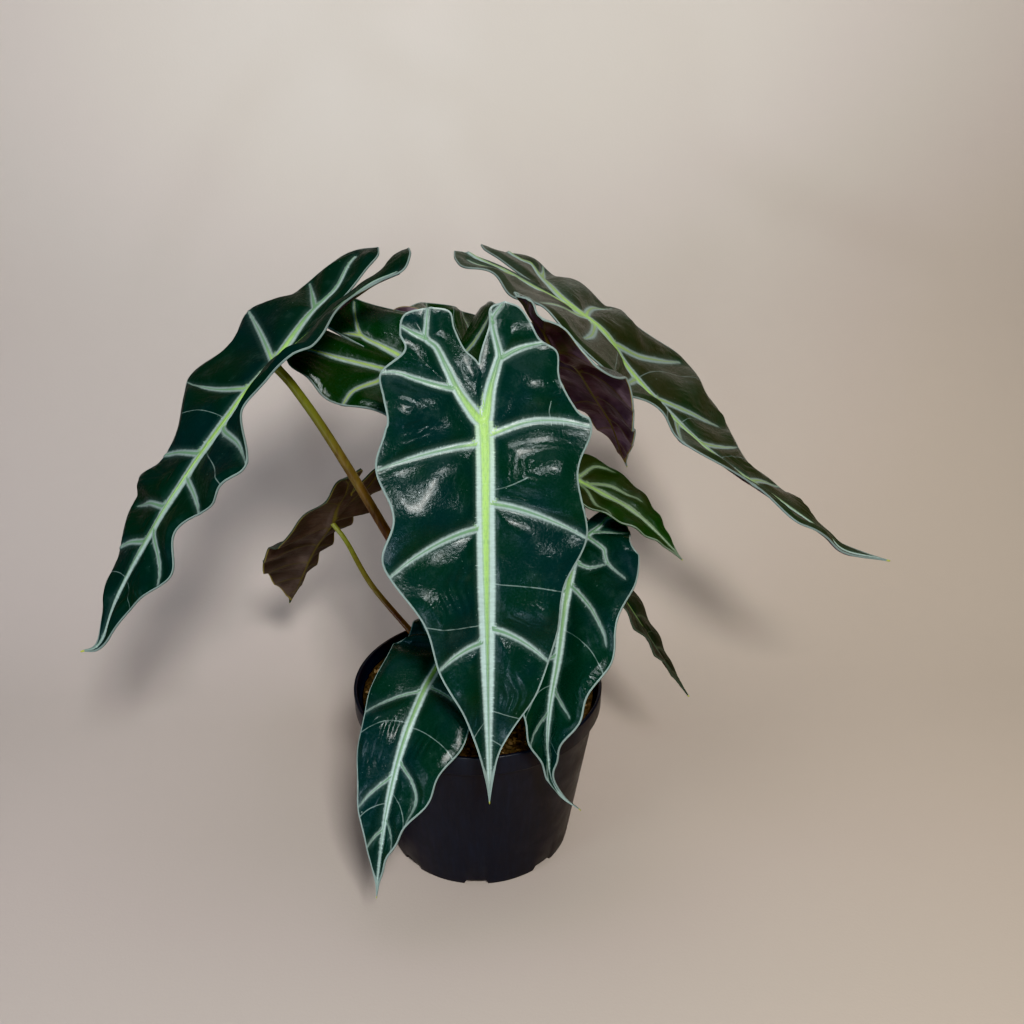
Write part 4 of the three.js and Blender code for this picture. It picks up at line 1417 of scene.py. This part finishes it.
def stalk_object(leaf, blade, material):
    """A round stalk along its curve, from its hole in the soil into the blade's midrib."""
    c, n, _ = blade.frame(np.array([0.0]))
    c, n = c[0], n[0]
    reach = RIB - BLADE / 2 + GAP + leaf.get("seat", 0)
    x, y = leaf["foot"]
    in_soil = [[x, y, SOIL_TOP - HOLE_DEPTH + GAP], [x, y, SOIL_TOP + 4]]
    path = [*in_soil, *leaf["stalk"], c - n * (reach + 12), c - n * reach]
    spans = len(path) - 1
    bm = bmesh.new()
    height = bm.verts.layers.float.new("height")
    rows = STALK_ROWS * spans
    verts = bmesh.ops.create_grid(bm, x_segments=STALK_SIDES, y_segments=rows, size=0.5)["verts"]
    grid = np.array([v.co for v in verts])
    u = np.linspace(0, 1, rows + 1) * spans
    centre = smooth(path, u)
    centre[u < 1] = np.array(path[0]) + (np.array(path[1]) - path[0]) * u[u < 1][:, None]
    # The top runs on into the blade's midrib.
    centre = centre + n * ramp(u, spans - 0.25, 0.25)[:, None] * (reach - 1.2)
    t = unit(np.gradient(centre, axis=0))
    side = np.zeros_like(t)
    side[0] = (1, 0, 0)
    for i in range(1, len(t)):
        side[i] = unit(side[i - 1] - t[i] * (side[i - 1] @ t[i]))
    other = np.cross(t, side)
    low, high = [r * leaf.get("slim", 1) for r in leaf["radius"]]
    radius = low + (high - low) * ramp(u, 1, spans - 2) ** 0.6
    radius *= 0.96 + 0.12 * ramp(u, spans - 0.3, 0.3) ** 2
    row = np.rint((grid[:, 1] + 0.5) * rows).astype(int)
    angle = (grid[:, 0] + 0.5) * 2 * math.pi
    groove = 1 - 0.05 * np.exp(-(((angle - math.pi) / 0.35) ** 2)) * np.clip(u[row] - 1, 0, 1)
    r = (radius[row] * groove)[:, None]
    points = centre[row] + side[row] * r * np.cos(angle)[:, None]
    points = points + other[row] * r * np.sin(angle)[:, None]
    for i, vert in enumerate(verts):
        vert.co = points[i] * MM
        vert[height] = max(u[row[i]] - 1, 0) / (spans - 1)
    bmesh.ops.remove_doubles(bm, verts=bm.verts[:], dist=0.01 * MM)
    bmesh.ops.holes_fill(bm, edges=[e for e in bm.edges if e.is_boundary], sides=0)
    bmesh.ops.recalc_face_normals(bm, faces=bm.faces[:])
    return mesh_of(bm, "stalk_" + leaf["name"], [material])


def pot_material():
    """Black plastic with upright streaks, scratches and dust."""
    size = settings("pot")
    look = Look("pot_plastic", **{"IOR": 1.52})
    cloud = look.noise(look.place(), 55, 4, 0.6)
    fine = look.noise(look.place(), 1500, 3, 0.6)
    streak = look.noise(look.place((1, 1, 0.06)), 420, 3, 0.6)
    worn = scaled(size.plastic, 2.2)
    colour = look.mix(look.remap(streak, 0.4, 0.75, 0.0, 0.3), size.plastic, worn)
    dusty = look.math("MULTIPLY", look.remap(cloud, 0.52, 0.75), look.remap(fine, 0.42, 0.6))
    colour = look.mix(look.math("MULTIPLY", dusty, 0.22), colour, size.dust)
    scratch = look.noise(look.place((0.25, 0.25, 2.2)), 900, 2, 0.5)
    colour = look.mix(look.remap(scratch, 0.76, 0.8, 0.0, 0.15), colour, size.dust)
    rough = look.remap(cloud, 0.3, 0.7, size.roughness - 0.08, size.roughness + 0.08)
    normal = look.bump(fine, 0.00008, 0.6)
    normal = look.bump(streak, 0.0002, 0.25, normal)
    return look.finish(colour, rough, normal)


def outer_radius(z):
    """Radius of the pot's outside at a height under the rim."""
    shoulder = POT_HEIGHT - RIM_BAND - 0.5
    return BASE_RADIUS + (UNDER_RIM - BASE_RADIUS) / shoulder * z


def inner_radius(z):
    return outer_radius(z) - WALL


def pot_object(material):
    """The pot's section, its corners rounded, spun about its axis, with notches in the foot."""
    size = settings("pot")
    shoulder = POT_HEIGHT - RIM_BAND
    floor_top = FOOT_HEIGHT + FLOOR
    # Each corner: radius, height and how far it is rounded.
    section = [
        (0, 0, 0),
        (PAD_RADIUS, 0, 0.4),
        (PAD_RADIUS + 1, FOOT_HEIGHT, 0.4),
        (BASE_RADIUS - FOOT_WIDTH, FOOT_HEIGHT, 0.4),
        (BASE_RADIUS - FOOT_WIDTH, 0, 0.3),
        (BASE_RADIUS - 0.05, 0, 0.7),
        (outer_radius(3.4), 3.4, 0),
        (outer_radius(20), 20, 0),
        (outer_radius(40), 40, 0),
        (outer_radius(60), 60, 0),
        (UNDER_RIM, shoulder - 0.5, 0.6),
        (RIM_RADIUS - 0.2, shoulder, 0.6),
        (RIM_RADIUS, POT_HEIGHT, 0.7),
        (RIM_RADIUS - 1.7, POT_HEIGHT, 0.6),
        (RIM_RADIUS - 1.9, shoulder + 1.6, 0.5),
        (inner_radius(shoulder - 0.5), shoulder - 0.3, 0.5),
        (inner_radius(floor_top + 1), floor_top + 1, 0.5),
        (inner_radius(floor_top) - 1, floor_top, 0.3),
        (0, floor_top, 0),
    ]
    bm = bmesh.new()
    verts = section_of(bm, [corner[:2] for corner in section])
    for vert, (_, _, rounding) in zip(verts, section):
        if rounding:
            bmesh.ops.bevel(
                bm,
                geom=[vert],
                offset=rounding * MM,
                offset_type="OFFSET",
                segments=4,
                profile=0.5,
                affect="VERTICES",
                material=-1,
            )
    spun(bm, size.steps)
    # Notches: the foot's underside is raised in eight places.
    for vert in bm.verts:
        r = math.hypot(vert.co.x, vert.co.y) / MM
        z = vert.co.z / MM
        turn = (math.degrees(math.atan2(vert.co.y, vert.co.x)) + NOTCH_TURN) % (360 / NOTCHES)
        turn = math.radians(min(turn, 360 / NOTCHES - turn))
        on_foot = r > BASE_RADIUS - FOOT_WIDTH - 0.5 and z < NOTCH_HEIGHT - 0.1
        if on_foot and turn * BASE_RADIUS < NOTCH_HALF_WIDTH:
            vert.co.z = (NOTCH_HEIGHT + 0.1 * z) * MM
    bmesh.ops.recalc_face_normals(bm, faces=bm.faces[:])
    pot = mesh_of(bm, "nursery_pot", [material])
    pot.data.set_sharp_from_angle(angle=math.radians(50))
    return pot


def soil_height(x, y):
    """Height of the soil's top: rough, and heaped towards the wall."""
    r = math.hypot(x, y)
    waves = math.sin(0.41 * x + 1.3) * math.cos(0.37 * y - 0.4)
    waves += 0.7 * math.sin(0.83 * x - 0.61 * y)
    heap = 3.2 * ramp(r, 38, 14)
    level = SOIL_TOP + 2.6 + heap + 1.6 * (0.5 + 0.35 * waves) * ramp(r, 56, -6)
    crumbs = noise.noise(Vector((x * 0.5, y * 0.5, 1)))
    crumbs += 0.6 * noise.noise(Vector((x * 1.1, y * 1.1, 5)))
    return level + 0.9 * crumbs


def soil_material():
    """Dark crumbs of peat."""
    size = settings("soil")
    look = Look("peat", **{"Roughness": 0.95, "Specular IOR Level": 0.25})
    crumb = look.noise(look.place(), 420, 5, 0.7)
    damp = look.noise(look.place(), 60, 3, 0.6)
    colour = look.mix(look.remap(crumb, 0.35, 0.7), scaled(size.peat, 0.5), scaled(size.peat, 2.4))
    colour = look.mix(look.remap(damp, 0.45, 0.7, 0.0, 0.5), colour, scaled(size.peat, 0.5))
    return look.finish(colour, None, look.bump(crumb, 0.002, 0.9))


def chip_material():
    """Bark, from nearly black to light brown from chip to chip."""
    size = settings("soil")
    look = Look("bark_chips", **{"Roughness": 0.85, "Specular IOR Level": 0.3})
    tone = look.attribute("tone")
    grain = look.noise(look.place(), 1300, 4, 0.65)
    dark = scaled(size.bark, 0.12)
    colour = look.mix(tone, dark, size.bark)
    colour = look.mix(look.remap(grain, 0.45, 0.75, 0.0, 0.6), colour, dark)
    return look.finish(colour, None, look.bump(grain, 0.0005, 0.8))


def soil_object(material):
    """The potting mix: a spun disc with a rough top that reaches down to the pot's floor."""
    bottom = FOOT_HEIGHT + FLOOR + GAP
    section = [(r, SOIL_TOP) for r in np.linspace(0, inner_radius(SOIL_TOP) - 0.35, SOIL_RINGS)]
    foot = inner_radius(bottom + 1) - GAP
    section += [(foot, bottom + 1), (foot - 1.4, bottom), (0, bottom)]
    bm = bmesh.new()
    section_of(bm, section)
    spun(bm, SOIL_STEPS)
    for vert in bm.verts:
        if vert.co.z > (SOIL_TOP - 0.5) * MM:
            vert.co.z = soil_height(vert.co.x / MM, vert.co.y / MM) * MM
    bmesh.ops.recalc_face_normals(bm, faces=bm.faces[:])
    return mesh_of(bm, "potting_mix", [material])


def chips_object(material):
    """Bark chips of many sizes, half sunk in the potting mix, clear of the stalks."""
    size = settings("soil")
    dice = random.Random(5)
    bm = bmesh.new()
    tone = bm.verts.layers.float.new("tone")
    feet = [(*leaf["foot"], leaf["radius"][0]) for leaf in LEAVES]
    edge = inner_radius(SOIL_TOP) - 2.2
    made = 0
    while made < size.chips:
        r, turn = edge * math.sqrt(dice.random()), dice.uniform(0, 2 * math.pi)
        x, y = r * math.cos(turn), r * math.sin(turn)
        long = size.chip / MM * dice.uniform(0.35, 1.0) ** 1.3
        on_stalk = any(math.hypot(x - a, y - b) < c + long * 0.55 for a, b, c in feet)
        if on_stalk or r + long * 0.5 > edge + 2:
            continue
        wide, thick = long * dice.uniform(0.25, 0.42), long * dice.uniform(0.12, 0.25)
        scale = Matrix.Diagonal((long / 2, wide, thick, 1))
        tilt = Matrix.Rotation(dice.uniform(-0.6, 0.6), 4, "X")
        tilt = tilt @ Matrix.Rotation(dice.uniform(-0.6, 0.6), 4, "Y")
        at = Matrix.Translation((x, y, soil_height(x, y) + long * dice.uniform(0.0, 0.14)))
        spin = Matrix.Rotation(dice.uniform(0, 6.3), 4, "Z")
        place = Matrix.Scale(MM, 4) @ at @ spin @ tilt @ scale
        verts = bmesh.ops.create_icosphere(bm, subdivisions=1, radius=1, matrix=place)["verts"]
        shade = dice.random() ** 1.6
        for vert in verts:
            vert.co += Vector([dice.uniform(-0.09, 0.09) * long * MM for _ in range(3)])
            vert[tone] = shade
        made += 1
    chips = mesh_of(bm, "soil_chips", [material])
    chips.data.shade_flat()
    return chips


def backdrop_material():
    """Paper with painted light: warmer towards the right, most near the floor, and a painted pool
    of light that pales the middle of the wall.
    """
    size = settings("stage")
    look = Look("backdrop_paper", **{"Roughness": 0.85, "Specular IOR Level": 0.2})
    place = look.add("ShaderNodeSeparateXYZ", {0: look.place()})
    x, z = place.outputs[0], place.outputs[2]
    # Painted warm light: the paper turns warmer towards the right, most near the floor.
    warm = tuple(c * k for c, k in zip(size.backdrop, (1.08, 1.03, 0.91)))
    share = look.math("MULTIPLY", look.remap(x, -0.3, 0.45), look.remap(z, 0.4, 0.0, 0.4, 1.0))
    colour = look.mix(share, size.backdrop, warm)
    # Painted pool of light: the paper is paler in the middle of the wall, above the floor.
    middle = look.remap(look.math("ABSOLUTE", x), 0.5, 0.05)
    middle = look.math("MULTIPLY", middle, look.remap(z, 0.05, 0.36))
    colour = look.mix(middle, colour, PAINTED_WALL_LIGHT)
    grain = look.bump(look.noise(look.place(), 700, 3), 0.0002, 0.3)
    # Seen from its back, the paper is clear, so that the plant can be looked at from behind.
    clear = look.add("ShaderNodeBsdfTransparent").outputs[0]
    back = look.add("ShaderNodeNewGeometry").outputs["Backfacing"]
    sheet = look.add("ShaderNodeMixShader", {0: back, 1: look.shader.outputs[0], 2: clear})
    look.add("ShaderNodeOutputMaterial", {"Surface": sheet.outputs[0]}).is_active_output = True
    return look.finish(colour, None, grain)


def backdrop_object(material):
    """One paper sheet: the floor, a wide curve and the wall."""
    width, front, start, radius, top = 5, -1.6, 0.11, 0.19, 2.2
    bm = bmesh.new()
    verts = bmesh.ops.create_grid(bm, x_segments=4, y_segments=120, size=0.5)["verts"]
    floor, arc = start - front, radius * math.pi / 2
    total = floor + arc + top
    for vert in verts:
        run = (vert.co.y + 0.5) * total
        x = vert.co.x * width
        if run < floor:
            vert.co = (x, front + run, 0)
        elif run < floor + arc:
            angle = (run - floor) / radius
            vert.co = (x, start + radius * math.sin(angle), radius * (1 - math.cos(angle)))
        else:
            vert.co = (x, start + radius, radius + run - floor - arc)
    return mesh_of(bm, "backdrop", [material])


def add_lights(scene):
    """Four soft lamps and a weak light from all round."""
    size = settings("stage")
    plant, wall = (0, 0.05, 0.16), (-0.02, 0.36, 0.92)
    # Each lamp: name, place, the point it is turned to, power, width and colour.
    lamps = (
        ("light_front", (0.12, -0.72, 0.78), plant, size.key, 0.14, (1.0, 0.96, 0.9)),
        ("light_low", (-0.08, -0.5, 0.06), plant, size.low, 0.05, (0.8, 0.9, 1.0)),
        ("light_left", (-0.75, -0.55, 0.2), plant, size.fill, 0.3, (0.86, 0.93, 1.0)),
        ("light_wall", (-0.08, -0.02, 1.35), wall, size.wall, 0.8, (0.93, 0.96, 1.0)),
    )
    for name, place, aim, power, width, colour in lamps:
        lamp = bpy.data.lights.new(name, "AREA")
        lamp.energy, lamp.size, lamp.color = power, width, colour
        light = bpy.data.objects.new(name, lamp)
        light.location = place
        light.rotation_euler = (Vector(aim) - light.location).to_track_quat("-Z", "Y").to_euler()
        scene.collection.objects.link(light)
    world = bpy.data.worlds.new("room")
    world.use_nodes = True
    ground = world.node_tree.nodes["Background"]
    ground.inputs[0].default_value = (0.92, 0.95, 1.0, 1)
    ground.inputs[1].default_value = size.room
    scene.world = world


def add_camera(scene):
    camera = bpy.data.objects.new("camera", bpy.data.cameras.new("camera"))
    camera.data.lens, camera.data.sensor_width = settings("stage").lens, SENSOR_WIDTH
    camera.location = CAMERA_PLACE
    camera.rotation_euler = (math.radians(90 - CAMERA_TILT), 0, math.radians(CAMERA_TURN))
    scene.collection.objects.link(camera)
    scene.camera = camera


class PLANT_OT_stage(bpy.types.Operator):
    """Make the paper backdrop, the lights and the camera"""

    bl_idname = "plant.stage"
    bl_label = "Stage"

    def execute(self, context):
        scene = context.scene
        paper = backdrop_object(backdrop_material())
        scene.collection.objects.link(paper)
        add_lights(scene)
        add_camera(scene)
        scene.view_settings.view_transform = "Khronos PBR Neutral"
        return {"FINISHED"}


class PLANT_OT_pot(bpy.types.Operator):
    """Make the plastic nursery pot"""

    bl_idname = "plant.pot"
    bl_label = "Nursery pot"

    def execute(self, context):
        shown(pot_object(pot_material()), "pot", "pot")
        return {"FINISHED"}


class PLANT_OT_soil(bpy.types.Operator):
    """Make the potting mix and the bark chips on it"""

    bl_idname = "plant.soil"
    bl_label = "Soil"

    def execute(self, context):
        shown(soil_object(soil_material()), "soil", "soil")
        shown(chips_object(chip_material()), "soil")
        return {"FINISHED"}


class PLANT_OT_stalks(bpy.types.Operator):
    """Make the stalk of each leaf"""

    bl_idname = "plant.stalks"
    bl_label = "Leaf stalks"

    def execute(self, context):
        size = settings("stalks")
        grown = stalk_material("stalk_grown", size.green, size.brown, size.fleck)
        light_green, light_fleck = scaled(size.green, 1.5), scaled(size.fleck, 2)
        young = stalk_material("stalk_young", light_green, size.brown, light_fleck)
        for leaf in LEAVES:
            green = leaf["name"] in ("small_right", "small_left", "low_left", "low_right")
            stalk = stalk_object(leaf, Blade(leaf), young if green else grown)
            shown(stalk, "green_stalk" if green else "brown_stalk", "petiole_" + leaf["name"])
        return {"FINISHED"}


class PLANT_OT_blades(bpy.types.Operator):
    """Make the blade of each leaf"""

    bl_idname = "plant.blades"
    bl_label = "Leaf blades"

    def execute(self, context):
        size = settings("blades")
        green, blue, mint, core = size.green, size.blue_green, size.mint, size.leaf_core
        dim = scaled(mint, 0.8)
        # Each finish: two greens, the veins and their core, then roughness, gloss and coat.
        finishes = {
            "grown": (green, blue, mint, core),
            # Painted shade: a darker copy of the grown finish, its greens at 0.7 and its veins
            # dimmed, for the left blade.
            "deep_shaded": (scaled(green, 0.7), scaled(blue, 0.7), dim, core, 0.4, 0.14, 0.0),
            # Painted sheen: greyer greens that stand in for the reflection seen at a grazing angle.
            "sheen": (*PAINTED_SHEEN_GREENS, dim, YELLOW_CORE, 0.4, 0.5),
            # Painted light: yellower greens and a brighter vein core stand in for light shining
            # through the blade.
            "lit": (*PAINTED_LIT_GREENS, dim, PAINTED_LIT_CORE, 0.3, 0.45),
            # The young finish's second, grey olive green is painted sheen.
            "young": (*YOUNG_GREEN_AND_PAINTED_SHEEN, YOUNG_MINT, YOUNG_CORE, 0.36, 0.5),
            # Painted sheen: the dull finish's greens are greyed in place of a reflection, and its
            # gloss is low.
            "dull": (*DULL_PAINTED_SHEEN_GREENS, DULL_MINT, DULL_CORE, 0.48, 0.2),
        }
        tops = {name: blade_top_material("blade_" + name, *finishes[name]) for name in finishes}
        purple = blade_under_material("blade_purple", size.purple, size.olive)
        brown = blade_under_material("blade_brown", BROWN, size.olive, 0.5)
        slots = {"small_right": "young_blade", "small_left": "dull_blade", "low_back": "dull_blade"}
        for leaf in LEAVES:
            finish = leaf.get("look", "grown")
            pair = [tops[finish], brown if finish == "dull" else purple]
            slot = slots.get(leaf["name"], "blade")
            shown(blade_object(leaf, pair), slot, "blade_" + leaf["name"])
        return {"FINISHED"}


class PLANT_PT_panel(bpy.types.Panel):
    """Lists the pieces of the plant"""

    bl_idname = "PLANT_PT_panel"
    bl_label = "Potted Alocasia"
    bl_space_type = "VIEW_3D"
    bl_region_type = "UI"
    bl_category = "Plant"

    def draw(self, context):
        for name, operators in PARTS.items():
            box = self.layout.box()
            group = getattr(context.scene, "plant_" + name)
            for key in group.__annotations__:
                box.prop(group, key)
            for operator in operators:
                box.operator(operator)


PARTS = {
    "stage": ["plant.stage"],
    "pot": ["plant.pot"],
    "soil": ["plant.soil"],
    "stalks": ["plant.stalks"],
    "blades": ["plant.blades"],
}
GROUPS = {
    "blades": PLANT_blade_settings,
    "stalks": PLANT_stalk_settings,
    "pot": PLANT_pot_settings,
    "soil": PLANT_soil_settings,
    "stage": PLANT_stage_settings,
}
CLASSES = [
    *GROUPS.values(),
    PLANT_OT_stage,
    PLANT_OT_pot,
    PLANT_OT_soil,
    PLANT_OT_stalks,
    PLANT_OT_blades,
    PLANT_PT_panel,
]


def register():
    for cls in CLASSES:
        bpy.utils.register_class(cls)
    for name, group in GROUPS.items():
        setattr(bpy.types.Scene, "plant_" + name, PointerProperty(type=group))


def unregister():
    for name in GROUPS:
        delattr(bpy.types.Scene, "plant_" + name)
    for cls in reversed(CLASSES):
        bpy.utils.unregister_class(cls)


def main():
    register()
    bpy.ops.plant.stage()
    bpy.ops.plant.pot()
    bpy.ops.plant.soil()
    bpy.ops.plant.stalks()
    bpy.ops.plant.blades()


if __name__ == "__main__":
    main()
